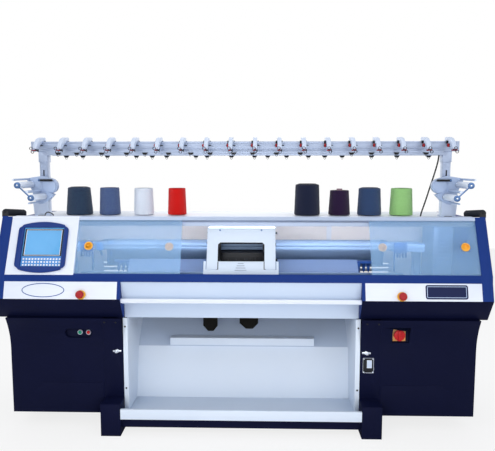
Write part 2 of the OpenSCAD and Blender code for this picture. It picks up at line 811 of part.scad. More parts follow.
// A yarn feeder: slider round one rail, arm, and tube over the gap of the beds
module yarn_feeder(row, x) {
    y = (row - 1.5) * rail_pitch;
    tip_y = (row - 1.5) * 8;
    g = rail_t / 2 + 0.4;
    color("#4a6ea8") translate([x, 0, 0]) {
        difference() {
            box([-18, y - g - 3, rail_z - 4], [18, y + g + 3, rail_z + rail_h + 4]);
            box([-19, y - g, rail_z - 0.4], [19, y + g, rail_z + rail_h + 0.4]);
        }
        hull() {
            box([-6, y - 2.5, rail_z - 6], [6, y + 2.5, rail_z - 3]);
            box([-6, tip_y - 2.5, apex_z + 20], [6, tip_y + 2.5, apex_z + 24]);
        }
        translate([0, tip_y, apex_z + 8]) cylinder(r1 = 1.5, r2 = 2.5, h = 14);
    }
}
feeder_x = [-rail_end + 33, -rail_end + 89, rail_end - 47];
module yarn_feeder_1() {
    yarn_feeder(0, feeder_x[0]);
}
module yarn_feeder_2() {
    yarn_feeder(1, feeder_x[1]);
}
module yarn_feeder_3() {
    yarn_feeder(2, feeder_x[2]);
}

// Operating console
console_x = win_x0 - console_w / 2;
console_t = 20;
bezel_w = 283;
bezel_h = 243;
bezel_s = 157.5;
bezel_t = 14;
bulge = 26;
recess_x = console_x + 4;
recess_w = 229;
recess_s0 = 45;
recess_s1 = 273;
screen_w = 222;
screen_h = 153;
screen_s = 109;
keypad_s = 72;
// Outline with rounded corners and bulging top and bottom
function arc(c, r, a0, a1, n) =
    [for (i = [0:n]) let (a = a0 + (a1 - a0) * i / n) c + r * [cos(a), sin(a)]];
function barrel(w, h, b, r) =
    let (big = (w * w / 4 + b * b) / (2 * b), half = asin((w / 2 - r) / big), c = h / 2 + b - big)
    concat(
        arc([0, c], big, 90 - half, 90 + half, 14),
        arc([-w / 2 + r, h / 2 - r], r, 105, 180, 4),
        arc([-w / 2 + r, -h / 2 + r], r, 180, 255, 4),
        arc([0, -c], big, 270 - half, 270 + half, 14),
        arc([w / 2 - r, -h / 2 + r], r, 285, 360, 4),
        arc([w / 2 - r, h / 2 - r], r, 0, 75, 4));
// A box in the recess of the bezel, from y0 to y1 and from s0 to s1
module in_recess(w, y0, y1, s0, s1) {
    box([recess_x - w / 2, y0, s0], [recess_x + w / 2, y1, s1]);
}
module console_panel() {
    color(pale) on_slope() difference() {
        box([-cheek_in, 0, 0], [win_x0, console_t, slope_len - fin_h - 4]);
        box([-cheek_in + 4, 4, 4], [win_x0 - 4, console_t + 1, slope_len - fin_h - 8]);
        in_recess(recess_w, -1, 5, recess_s0, recess_s1);
    }
}
module console_bezel() {
    color(blue) on_slope() difference() {
        translate([console_x, 0, bezel_s]) span_y(-bezel_t, 0) polygon(barrel(bezel_w, bezel_h, bulge, 24));
        in_recess(recess_w, -bezel_t - 1, 1, recess_s0, recess_s1);
    }
}
module touch_screen() {
    color("#69b0e4") on_slope() difference() {
        in_recess(recess_w, -3, 6, screen_s - 4, recess_s1);
        in_recess(screen_w, -4, -2, screen_s, screen_s + screen_h);
    }
}
module membrane_keypad() {
    key = 10;
    pitch = 17;
    color("#3b7cc4") on_slope() {
        in_recess(recess_w, -2, 6, recess_s0, screen_s - 4);
        for (i = [-6:6]) for (j = [-1:1])
            translate([recess_x + 2 + i * pitch - key / 2, -3.2, keypad_s + j * pitch - key / 2])
                cube([key, 1.3, key]);
    }
}

// Table, rear cover and yarn stand
table_t = 6;
module yarn_table() {
    front = slope_top + top_depth;
    rib_z = table_z - 26;
    color(pale) {
        box([-cheek_in, front, table_z - table_t], [cheek_in, rear_y, table_z]);
        both_sides() for (x = [cheek_in / 5, cheek_in * 3 / 5])
            box([x, front + 20, rib_z], [x + sheet, rear_in, table_z - table_t + 1]);
    }
}
vent_x = leg_in;
vent_l = 320;
module rear_cover() {
    color(pale) difference() {
        union() {
            box([-cheek_in, rear_in, chin_z], [cheek_in, rear_y, table_z - table_t]);
            box([-leg_out, rear_in, foot_h], [leg_out, rear_y, chin_z + 1]);
        }
        // Louvres below the rear rail
        both_sides() for (z = [chin_z + 55:30:apex_z - 110])
            box([vent_x, rear_in - 1, z], [vent_x + vent_l, rear_y + 1, z + 9]);
    }
}

mast_x = beam_l / 2 - mast_inset;
mast_y = 96;
beam_y0 = mast_y - 35;
beam_y1 = mast_y + 25;
beam_low = beam_z - beam_h;
module masts() {
    h = mast_w / 2;
    color(steel) both_sides() difference() {
        union() {
            box([mast_x - h, mast_y - h, table_z], [mast_x + h, mast_y + h, beam_low]);
            box(
                [mast_x - h - 4, mast_y - h - 4, beam_low - 66],
                [mast_x + h + 4, mast_y + h + 4, beam_low]);
            box([mast_x - h - 4, mast_y - h, table_z], [mast_x + h + 14, mast_y + h + 14, table_z + 8]);
        }
        for (s = [-1, 1]) translate([mast_x, mast_y + s * h, (table_z + beam_low) / 2 - 40])
            cube([9, 16, beam_low - table_z - 150], center = true);
    }
}
hang_h = 24;
hang_y0 = mast_y - 60;
hang_y1 = mast_y + 60;
hang_end = mast_x - mast_w / 2 - 8;
module tension_beam() {
    color(steel) {
        difference() {
            box([-beam_l / 2, beam_y0, beam_low], [beam_l / 2, beam_y1, beam_z]);
            for (z = [beam_z - 14, beam_low + 12])
                box([-beam_l / 2 - 1, beam_y0 - 1, z], [beam_l / 2 + 1, beam_y0 + 2.5, z + 3]);
            box([-beam_l / 2 - 1, mast_y - 10, beam_low + 10], [beam_l / 2 + 1, mast_y + 10, beam_z - 10]);
        }
        difference() {
            box([-hang_end, hang_y0, beam_low - hang_h], [hang_end, hang_y1, beam_low + 0.5]);
            box(
                [-hang_end - 1, hang_y0 + 14, beam_low - hang_h - 1],
                [hang_end + 1, hang_y1 - 14, beam_low - 5]);
            box([-hang_end - 1, hang_y0 - 1, beam_low - 13], [hang_end + 1, hang_y0 + 2, beam_low - 10]);
        }
    }
}

// Black yarn guides with ceramic eyes, in two rows under the beam
tensioner_pitch = (beam_l - 2 * tensioner_inset) / (tensioners - 1);
function tx(i) = (i - (tensioners - 1) / 2) * tensioner_pitch;
module yarn_guide(x, y, z) {
    color(black) translate([x, 0, 0]) span_y(y - 8, y)
        polygon([[-17, z], [17, z], [10, z - 12], [-10, z - 12]]);
    color("white") translate([x, y - 4, z - 17]) rotate([90, 0, 0]) difference() {
        cylinder(r = 7, h = 4, center = true, $fn = 24);
        cylinder(r = 4.6, h = 5, center = true, $fn = 24);
    }
}
// Each guide is clipped on where its yarn runs: the tensioner before it and the distance from that
front_guides = [
    [1, -30], [1, 85], [2, 92], [3, 98], [4, 64], [5, 61], [6, 50], [7, 20], [8, 17], [9, -14], [10, -18],
    [11, -20], [13, -5], [14, -33], [15, -30], [16, 0]
];
rear_guides = [
    [1, -20], [1, 86], [2, 95], [4, -15], [4, 86], [5, 30], [6, 68], [7, -9], [8, -3], [9, -5], [9, 78],
    [10, 49], [11, 38], [12, -7], [13, -46], [14, -10], [15, 0], [16, 50]
];
module yarn_guides() {
    last = tensioners - 1;
    for (g = front_guides) if (g[0] < last) yarn_guide(tx(g[0]) + g[1], hang_y0, beam_low - 8);
    for (g = rear_guides) if (g[0] < last) yarn_guide(tx(g[0]) + g[1], hang_y1 - 2, beam_low - hang_h);
}

// Top tensioner: a curved arm over the beam, a disc tension with a knob, and a yarn stop lever
arm_w = 24;
arm_pts = [
    [beam_y1 - 2, beam_z], [beam_y1 - 2, beam_z + 22], [beam_y1 - 12, beam_z + 27],
    [beam_y0, beam_z + 25], [mast_y - 75, beam_z + 15], [mast_y - 108, beam_z - 9],
    [mast_y - 128, beam_z - 36], [mast_y - 127, beam_z - 48], [mast_y - 106, beam_z - 50],
    [mast_y - 82, beam_z - 31], [mast_y - 60, beam_z - 16], [beam_y0, beam_z - 12], [beam_y0, beam_z]
];
module tensioner_arms() {
    color(pale) for (i = [0:tensioners - 1]) translate([tx(i), 0, 0]) along_x(arm_w) polygon(arm_pts);
}
disc_y = mast_y - 69;
disc_z = beam_z - 26;
tip_y = mast_y - 112;
tip_z = beam_z - 57;
eye_y = mast_y - 168;
// A wire eye at x, z in the plane y
module wire_eye(x, y, z, r) {
    translate([x, y, z]) rotate([90, 0, 0]) difference() {
        cylinder(r = r, h = 3, center = true, $fn = 24);
        cylinder(r = r - 3, h = 4, center = true, $fn = 24);
    }
}
module tensioner_fittings() {
    // Tension discs, knob and the clip that holds them at the arm's side
    translate([-arm_w / 2, disc_y, disc_z]) {
        color(black) rod_x(0, 0, 12, -2.5, 0);
        color("#a01820") rod_x(0, 0, 10, -13, -2);
        color(black) rod_x(0, 0, 4, -16, -12);
    }
    color(black) {
        box([-arm_w / 2 - 10, beam_y0 - 12, beam_z - 14], [-arm_w / 2, beam_y0, beam_z + 4]);
        box([-arm_w / 2 - 10, beam_y0 - 1, beam_z], [-arm_w / 2, beam_y0 + 6, beam_z + 4]);
    }
    // Screws of the arm on the beam
    color(black) translate([arm_w / 2 + 6, mast_y - 10, beam_z]) cylinder(r = 4, h = 5, $fn = 24);
    // Stop lever under the arm's tip, with its disc and two wire eyes
    color("#a01820") {
        rod_x(tip_y, tip_z, 3.5, -13, 15);
        box([-3, eye_y - 2, tip_z - 2], [3, tip_y + 8, tip_z + 3]);
    }
    color(black) {
        rod_x(tip_y, tip_z, 9, 12, 15);
        box([-4, tip_y - 4, tip_z], [4, tip_y + 4, beam_z - 50]);
        rod_x(disc_y, disc_z, 3, arm_w / 2, arm_w / 2 + 16);
        wire_eye(2, eye_y, tip_z - 10, 10);
        wire_eye(-6, eye_y, tip_z + 10, 10);
    }
}
module yarn_tensioners() {
    for (i = [0:tensioners - 1]) translate([tx(i), 0, 0]) tensioner_fittings();
}

// Side feed unit: two rollers along Y between a housing on the mast and a front plate
up_x = mast_x + 66;
up_z = table_z + 198;
low_x = mast_x - 11;
low_z = table_z + 124;
feed_y0 = nose_y + 254;
feed_y1 = mast_y - mast_w / 2 - 36;
journal_r = 6;
plate_t = 6;
module feed_unit() {
    hy0 = feed_y1;
    hy1 = mast_y - mast_w / 2;
    axles = [[up_x, up_z], [low_x, low_z]];
    color(steel) difference() {
        translate([mast_x, 0, table_z]) {
            span_y(hy0, hy1) hull() {
                translate([-49, 189]) circle(46, $fn = 32);
                translate([-3, 206]) circle(44, $fn = 32);
                translate([72, 220]) circle(19, $fn = 32);
                translate([34, 140]) circle(18, $fn = 32);
            }
            rod_y(-49, 189, 40, hy0 - 12, hy0 + 1);
            // Lower cover with its ledge
            span_y(hy0 - 5, hy1 - 4) polygon([
                [-76, 136], [-70, 132], [-40, 100], [0, 78], [20, 76], [64, 116], [56, 150], [-30, 152]
            ]);
            // Stand
            span_y(hy0 + 4, hy1 - 2) polygon([[-31, 0], [54, 0], [62, 84], [-33, 112]]);
            box([-14, hy0 - 8, 0], [30, hy0 + 5, 6]);
        }
        for (p = axles) rod_y(p[0], p[1], journal_r + fit, hy0 - 7, hy0 + 13);
        rod_y(low_x, low_z, feed_r + 1.5, hy0 - 6, hy0);
    }
    // Link that carries the rollers' front ends
    color(blue) difference() {
        union() {
            span_y(feed_y0 - plate_t - 0.4, feed_y0 - 0.4)
                hull() for (p = axles) translate(p) circle(4, $fn = 32);
            for (p = axles) rod_y(p[0], p[1], feed_r - 2, feed_y0 - 2 * plate_t, feed_y0 - 0.4);
        }
        for (p = axles) rod_y(p[0], p[1], journal_r + fit, feed_y0 - 2 * plate_t - 1, feed_y0);
    }
    // Tie rod between the link and the housing, and the rods that guide the yarn
    color(steel) {
        rod_y((up_x + low_x) / 2, (up_z + low_z) / 2, 3.5, feed_y0 - 2, hy0 + 1);
        translate([mast_x, 0, table_z]) {
            rod_y(80, 231, 6, feed_y0 - 30, hy0 + 2);
            rod_y(9, 92, 5, feed_y0 + 10, hy0 + 1);
            rod_y(12, 160, 8, feed_y0 - 4, hy0 + 1);
        }
    }
    color(black) rod_x(hy0 - 5, table_z + 223, 6, mast_x - 58, mast_x + 4);
}
module feed_unit_left() {
    mirror([1, 0, 0]) feed_unit();
}
module feed_unit_right() {
    feed_unit();
}
module feed_roller(x, z) {
    color("#eef2fa") {
        rod_y(x, z, feed_r, feed_y0, feed_y1 - 0.4);
        rod_y(x, z, journal_r, feed_y0 - 2 * plate_t, feed_y1 + 12);
    }
}
module feed_roller_left_upper() {
    feed_roller(-up_x, up_z);
}
module feed_roller_left_lower() {
    feed_roller(-low_x, low_z);
}
module feed_roller_right_upper() {
    feed_roller(up_x, up_z);
}
module feed_roller_right_lower() {
    feed_roller(low_x, low_z);
}

// Yarn cones: place along X, base radius, top radius, height and colour
cone_y = 156;
cones = [
    [-1056, 84, 70, 176, "#262c44"], [-859, 67, 60, 176, "#4a5578"], [-640, 64, 58, 173, "#e8f0fb"],
    [-426, 60, 54, 173, "#d8120c"], [404, 82, 75, 196, "#151b33"], [608, 69, 59, 160, "#2a0f3a"],
    [798, 76, 68, 173, "#294a66"], [999, 73, 65, 173, "#92cf78"]
];
module yarn_cones() {
    for (c = cones) translate([c[0], cone_y, table_z]) {
        color(c[4]) rotate_extrude($fn = 64) polygon([
            [26, 4], [c[1] - 8, 4], [c[1], 12], [c[2], c[3] - 8], [c[2] - 6, c[3]], [16, c[3]]
        ]);
        color("#d9a7a0") rotate_extrude($fn = 48) polygon([
            [23.4, 0], [26.2, 0], [26.2, 4], [16, c[3]], [15, c[3] + 1], [13, c[3] + 1]
        ]);
    }
}

// Cable from the beam down to the table, as a tube swept along its route
cable_r = 4.5;
cable_route = [
    [1208, 96, 1602], [1207, 96, 1580], [1203, 95, 1550], [1195, 94, 1515], [1189.7, 93.5, 1495],
    [1184, 93, 1475], [1178.6, 92.5, 1456.6], [1173, 92, 1438], [1162, 91, 1402], [1151, 90, 1366],
    [1141, 89, 1332], [1131, 88, 1300],
    [1122, 87, 1272], [1113, 86, 1245], [1106, 85, 1222], [1103, 85, 1206]
];
cable_sides = 8;
function unit(v) = v / norm(v);
module sensor_cable() {
    n = len(cable_route);
    ring = [for (i = [0:n - 1])
        let (t = i == 0 || i == n - 1 ? [0, 0, -1]
                : unit(cable_route[i + 1] - cable_route[i - 1]),
            u = unit(cross(t, [0, 1, 0])), v = cross(t, u))
        for (k = [0:cable_sides - 1])
            cable_route[i] + cable_r * (cos(360 * k / cable_sides) * u + sin(360 * k / cable_sides) * v)];
    faces = concat(
        [[for (k = [cable_sides - 1:-1:0]) k]],
        [for (i = [0:n - 2]) for (k = [0:cable_sides - 1])
            let (a = i * cable_sides, b = (k + 1) % cable_sides)
            [a + k, a + b, a + cable_sides + b, a + cable_sides + k]],
        [[for (k = [0:cable_sides - 1]) (n - 1) * cable_sides + k]]);
    color(black) polyhedron(ring, faces, convexity = 4);
}
base_frame();
column_covers();
cabinet_left();
cabinet_right();
hood_end_left();
hood_end_right();
front_band();
nose_strips();
apron();
start_bar();
bay_liner();
cloth_tray();
needle_bed_front();
needle_bed_rear();
guide_rails();
rail_brackets();
yarn_clamps();
drive_cover();
carriage_cover();
carriage_cam_box();
yarn_feeder_1();
yarn_feeder_2();
yarn_feeder_3();
take_down_roller();
knitted_pieces();
console_panel();
console_bezel();
touch_screen();
membrane_keypad();
top_rail();
window_left_front();
window_left_rear();
window_right_front();
window_right_rear();
yarn_table();
rear_cover();
masts();
tension_beam();
yarn_guides();
tensioner_arms();
yarn_tensioners();
feed_unit_left();
feed_unit_right();
feed_roller_left_upper();
feed_roller_left_lower();
feed_roller_right_upper();
feed_roller_right_lower();
guide_roller_left();
guide_roller_right();
yarn_cones();
sensor_cable();
stop_collars();
stop_button_left();
stop_button_right();
start_button();
halt_button();
main_switch_plate();
main_switch_knob();
cover_latch_left();
cover_latch_right();
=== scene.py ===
import bpy
import json
import math
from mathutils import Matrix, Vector

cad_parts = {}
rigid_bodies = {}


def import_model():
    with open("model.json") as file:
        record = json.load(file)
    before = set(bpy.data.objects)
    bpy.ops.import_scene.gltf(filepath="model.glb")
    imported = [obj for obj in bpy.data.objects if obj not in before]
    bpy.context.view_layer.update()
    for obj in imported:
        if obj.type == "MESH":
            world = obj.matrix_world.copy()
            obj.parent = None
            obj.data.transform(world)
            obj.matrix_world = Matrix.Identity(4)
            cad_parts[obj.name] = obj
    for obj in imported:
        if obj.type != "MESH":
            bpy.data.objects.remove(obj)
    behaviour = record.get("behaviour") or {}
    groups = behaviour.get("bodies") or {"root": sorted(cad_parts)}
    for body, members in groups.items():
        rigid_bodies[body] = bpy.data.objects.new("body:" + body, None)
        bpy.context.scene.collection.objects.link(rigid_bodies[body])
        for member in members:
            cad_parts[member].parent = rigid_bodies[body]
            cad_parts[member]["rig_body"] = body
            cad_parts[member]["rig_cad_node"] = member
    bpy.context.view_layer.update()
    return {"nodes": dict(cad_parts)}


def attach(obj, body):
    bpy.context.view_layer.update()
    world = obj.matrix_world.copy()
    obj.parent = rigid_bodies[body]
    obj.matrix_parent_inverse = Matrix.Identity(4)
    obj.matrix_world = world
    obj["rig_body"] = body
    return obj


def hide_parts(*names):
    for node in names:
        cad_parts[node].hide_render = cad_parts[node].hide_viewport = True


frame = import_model()
nodes = frame["nodes"]
mm = 0.001

# Small helpers, which take lengths in mm. A face counts as square to an axis from this share of its normal
square = 0.95


def deselectAll():
    if bpy.context.object and bpy.context.object.mode != "OBJECT":
        leaveEditing()
    bpy.ops.object.select_all(action="DESELECT")


def pick(piece):
    deselectAll()
    piece.select_set(True)
    bpy.context.view_layer.objects.active = piece


def leaveEditing():
    bpy.ops.object.mode_set(mode="OBJECT")


def editAll(piece):  # into edit mode with everything selected
    pick(piece)
    bpy.ops.object.mode_set(mode="EDIT")
    bpy.ops.mesh.select_all(action="SELECT")


def selectNothing(piece, mode="FACE"):
    pick(piece)
    bpy.ops.object.mode_set(mode="EDIT")
    bpy.ops.mesh.select_mode(type=mode)
    bpy.ops.mesh.select_all(action="DESELECT")
    leaveEditing()


def selectFaces(piece, test):  # into edit mode; test reads a face's centre and normal
    selectNothing(piece)
    for polygon in piece.data.polygons:
        polygon.select = test(polygon.center, polygon.normal)
    bpy.ops.object.mode_set(mode="EDIT")


def inset(thickness):
    bpy.ops.mesh.inset(thickness=thickness * mm)


def shift(x, y, z):
    bpy.ops.transform.translate(value=(x * mm, y * mm, z * mm))


def extrude(x, y, z):
    bpy.ops.mesh.extrude_region_move(TRANSFORM_OT_translate={"value": (x * mm, y * mm, z * mm)})


def closeSolid():  # after an extrusion of a flat sheet: all faces look outwards
    bpy.ops.mesh.select_all(action="SELECT")
    bpy.ops.mesh.normals_make_consistent(inside=False)
    leaveEditing()


def applyModifiers(piece):
    pick(piece)
    for modifier in list(piece.modifiers):
        bpy.ops.object.modifier_apply(modifier=modifier.name)


def bevelled(piece, width, segments=2, angleDegrees=40):
    bevel = piece.modifiers.new("edges", "BEVEL")
    bevel.width = width * mm
    bevel.segments = segments
    bevel.limit_method = "ANGLE"
    bevel.angle_limit = math.radians(angleDegrees)
    bevel.use_clamp_overlap = True
    applyModifiers(piece)


def settle(piece):  # the place goes into the mesh
    pick(piece)
    bpy.ops.object.transform_apply(location=True, rotation=True, scale=True)


def stretched(piece, x, y, z):  # by factors
    piece.scale = (x, y, z)
    settle(piece)


def putAt(piece, x, y, z):
    piece.location = (x * mm, y * mm, z * mm)


def cuboid(x, y, z):
    bpy.ops.mesh.primitive_cube_add(size=1)
    piece = bpy.context.object
    stretched(piece, x * mm, y * mm, z * mm)
    return piece


def rod(rotation, radius, length, vertices):
    bpy.ops.mesh.primitive_cylinder_add(vertices=vertices, radius=radius * mm, depth=length * mm,
                                        rotation=rotation)
    piece = bpy.context.object
    settle(piece)
    return piece


def finishPiece(piece, name, body, material, smooth=35):
    settle(piece)
    piece.name = name
    if material:
        piece.data.materials.clear()
        piece.data.materials.append(material)
    bpy.ops.object.shade_smooth_by_angle(angle=math.radians(smooth))
    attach(piece, body)
    return piece


def copyOf(piece, name):  # each copy has its own mesh
    pick(piece)
    bpy.ops.object.duplicate()
    copied = bpy.context.object
    copied.name = name
    return copied


def cut(piece, place, normal):  # a new edge right through
    editAll(piece)
    bpy.ops.mesh.bisect(plane_co=[v * mm for v in place], plane_no=normal)
    leaveEditing()


def paint(piece, finish, test, facing=None):  # another material on the faces whose corners all pass
    material = finishes[finish]
    if material.name not in piece.data.materials:
        piece.data.materials.append(material)
    index = piece.data.materials.find(material.name)
    points = [v.co * 1000 for v in piece.data.vertices]
    for polygon in piece.data.polygons:
        if (not facing or facing(polygon.normal)) and all(test(*points[i]) for i in polygon.vertices):
            polygon.material_index = index


def frontOf(piece, x, z, fromY=-600):  # y of what a point meets on its way back from the front
    return piece.ray_cast(Vector((x, fromY, z)) * mm, Vector((0, 1, 0)))[1].y / mm


# Camera: where the photographer stood, in metres
cameraValues = {
    "place": (0.1176, -3.3866, 1.5103),
    "turnDegrees": (84.004, 0.0, 1.505),
    "lens": 40.4,
    "farthest": 60,
}
print("Camera and cord")
cameraData = bpy.data.cameras.new("camera")
camera = bpy.data.objects.new("camera", cameraData)
bpy.context.scene.collection.objects.link(camera)
camera.location = cameraValues["place"]
camera.rotation_euler = [math.radians(a) for a in cameraValues["turnDegrees"]]
cameraData.lens = cameraValues["lens"]
cameraData.clip_end = cameraValues["farthest"]
bpy.context.scene.camera = camera

# Sensor cable from the channel under the beam down to the table: route in mm, length in metres
cableValues = {
    "radius": 4.5,
    "route": [
        (1208, 96, 1602), (1207, 96, 1580), (1203, 95, 1550), (1195, 94, 1515), (1189.7, 93.5, 1495),
        (1184, 93, 1475), (1178.6, 92.5, 1456.6), (1173, 92, 1438), (1162, 91, 1402), (1151, 90, 1366),
        (1141, 89, 1332), (1131, 88, 1300), (1122, 87, 1272), (1113, 86, 1245), (1106, 85, 1222),
        (1103, 85, 1206),
    ],
    "length": 0.411,
}
cableRoute = [[v * mm for v in place] for place in cableValues["route"]]
cableCurve = bpy.data.curves.new("sensorCable", "CURVE")
cableCurve.dimensions = "3D"
cableCurve.bevel_depth = cableValues["radius"] * mm
cableCurve.bevel_resolution = 3
cableCurve.use_fill_caps = True
cableLine = cableCurve.splines.new("POLY")
cableLine.points.add(len(cableRoute) - 1)
for point, place in zip(cableLine.points, cableRoute):
    point.co = (*place, 1)
cableLine.use_smooth = True
cable = bpy.data.objects.new("sensorCable", cableCurve)
bpy.context.scene.collection.objects.link(cable)
pick(cable)
bpy.ops.object.convert(target="MESH")
cable = bpy.context.object
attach(cable, "machine")
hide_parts("sensor_cable")


# Colours and nodes
def colour(code):  # sRGB hex to the linear values that the shader reads
    values = [int(code[i:i + 2], 16) / 255 for i in (1, 3, 5)]
    return tuple(v / 12.92 if v <= 0.04045 else ((v + 0.055) / 1.055) ** 2.4 for v in values) + (1.0,)


def addNode(tree, kind, values=None, links=None, **options):
    node = tree.nodes.new(kind)
    for option, value in options.items():
        setattr(node, option, value)
    for key, value in (values or {}).items():
        node.inputs[key].default_value = value
    for key, socket in (links or {}).items():
        tree.links.new(socket, node.inputs[key])
    return node


def startMaterial(name, roughness, metallic=0.0, specular=0.5, place="Object"):
    material = bpy.data.materials.new(name)
    material.use_nodes = True
    tree = material.node_tree
    shader = tree.nodes["Principled BSDF"]
    shader.inputs["Roughness"].default_value = roughness
    shader.inputs["Metallic"].default_value = metallic
    shader.inputs["Specular IOR Level"].default_value = specular
    coordinates = addNode(tree, "ShaderNodeTexCoord")
    return material, tree, shader, coordinates.outputs[place]


def mottled(tree, shader, place, code, otherCode, sizeMm):  # slow drift between two near colours
    noise = addNode(tree, "ShaderNodeTexNoise", {"Scale": 1000 / sizeMm, "Detail": 3.0}, {"Vector": place})
    mix = addNode(tree, "ShaderNodeMix", {"A": colour(code), "B": colour(otherCode)},
                  {"Factor": noise.outputs["Fac"]}, data_type="RGBA")
    tree.links.new(mix.outputs["Result"], shader.inputs["Base Color"])
    return noise


def grain(tree, shader, place, sizeMm, depth, stretch=(1, 1, 1), spread=0.0):  # fine relief of the skin
    turned = addNode(tree, "ShaderNodeMapping", {"Scale": stretch}, {"Vector": place})
    noise = addNode(tree, "ShaderNodeTexNoise", {"Scale": 1000 / sizeMm, "Detail": 4.0},
                    {"Vector": turned.outputs["Vector"]})
    bump = addNode(tree, "ShaderNodeBump", {"Strength": depth, "Distance": sizeMm * mm * 0.2},
                   {"Height": noise.outputs["Fac"]})
    tree.links.new(bump.outputs["Normal"], shader.inputs["Normal"])
    middle = shader.inputs["Roughness"].default_value
    rough = addNode(tree, "ShaderNodeMapRange", {"To Min": middle - spread, "To Max": middle + spread},
                    {"Value": noise.outputs["Fac"]})
    tree.links.new(rough.outputs["Result"], shader.inputs["Roughness"])


# Powder-coated sheet steel: an even colour with the low ripple of baked powder
def powderCoat(name, code, otherCode, roughness, specular=0.35, rippleMm=6.0, depth=0.12):
    material, tree, shader, place = startMaterial(name, roughness, 0.0, specular)
    mottled(tree, shader, place, code, otherCode, 260)
    grain(tree, shader, place, rippleMm, depth, spread=0.05)
    return material


# Moulded plastic: a slightly softer gloss and a fine spark-eroded grain
def mouldedPlastic(name, code, otherCode, roughness, specular=0.4, grainMm=1.5, depth=0.1):
    material, tree, shader, place = startMaterial(name, roughness, 0.0, specular)
    mottled(tree, shader, place, code, otherCode, 60)
    grain(tree, shader, place, grainMm, depth, spread=0.04)
    return material


# Ground or drawn metal: fine lines along X from the tool
def drawnMetal(name, code, otherCode, roughness, metallic=1.0, stretch=(0.02, 1, 1), lineMm=1.5):
    material, tree, shader, place = startMaterial(name, roughness, metallic)
    mottled(tree, shader, place, code, otherCode, 120)
    grain(tree, shader, place, lineMm, 0.05, stretch, 0.06)
    return material


# Yarn wound on a cone: matt, with threads that cross at a steep angle. The threads are drawn 4 mm apart,
# which is a wave of scale 80, because the real spacing is too fine to show
def woundYarn(name, code, otherCode):
    material, tree, shader, place = startMaterial(name, 0.9, 0.0, 0.2, "UV")
    mottled(tree, shader, place, code, otherCode, 40)
    threads = []
    for turn in (0.35, -0.35):
        turned = addNode(tree, "ShaderNodeMapping", {"Rotation": (0, 0, turn)}, {"Vector": place})
        threads.append(addNode(tree, "ShaderNodeTexWave", {"Scale": 80.0, "Distortion": 0.6, "Detail": 2.0},
                               {"Vector": turned.outputs["Vector"]}, bands_direction="Y"))
    crossed = addNode(tree, "ShaderNodeMath", None,
                      {0: threads[0].outputs["Fac"], 1: threads[1].outputs["Fac"]}, operation="MAXIMUM")
    bump = addNode(tree, "ShaderNodeBump", {"Strength": 0.7, "Distance": 0.0012},
                   {"Height": crossed.outputs[0]})
    tree.links.new(bump.outputs["Normal"], shader.inputs["Normal"])
    shader.inputs["Sheen Weight"].default_value = 0.15
    shader.inputs["Sheen Roughness"].default_value = 0.5
    return material


# Knitted acrylic: columns of loops about 5 mm wide, a wave of scale 62, hairy and matt
def knitted(name, code, otherCode):
    material, tree, shader, place = startMaterial(name, 0.95, 0.0, 0.15, "UV")
    noise = mottled(tree, shader, place, code, otherCode, 12)
    loops = []
    for turn in (0.6, -0.6):
        turned = addNode(tree, "ShaderNodeMapping", {"Rotation": (0, 0, turn)}, {"Vector": place})
        loops.append(addNode(tree, "ShaderNodeTexWave", {"Scale": 62.0, "Distortion": 1.2},
                             {"Vector": turned.outputs["Vector"]}, bands_direction="X"))
    crossed = addNode(tree, "ShaderNodeMath", None,
                      {0: loops[0].outputs["Fac"], 1: loops[1].outputs["Fac"]}, operation="MULTIPLY")
    hairy = addNode(tree, "ShaderNodeMath", None,
                    {0: crossed.outputs[0], 1: noise.outputs["Fac"]}, operation="ADD")
    bump = addNode(tree, "ShaderNodeBump", {"Strength": 0.9, "Distance": 0.0016},
                   {"Height": hairy.outputs[0]})
    tree.links.new(bump.outputs["Normal"], shader.inputs["Normal"])
    return material


# Blue-tinted acrylic: clear, with a light blue body and a hard gloss
def tintedAcrylic(name, code, otherCode, alpha):
    material, tree, shader, place = startMaterial(name, 0.08, 0.0, 0.3)
    mottled(tree, shader, place, code, otherCode, 700)
    grain(tree, shader, place, 90.0, 0.02, spread=0.02)
    shader.inputs["Alpha"].default_value = alpha
    shader.inputs["IOR"].default_value = 1.49
    return material


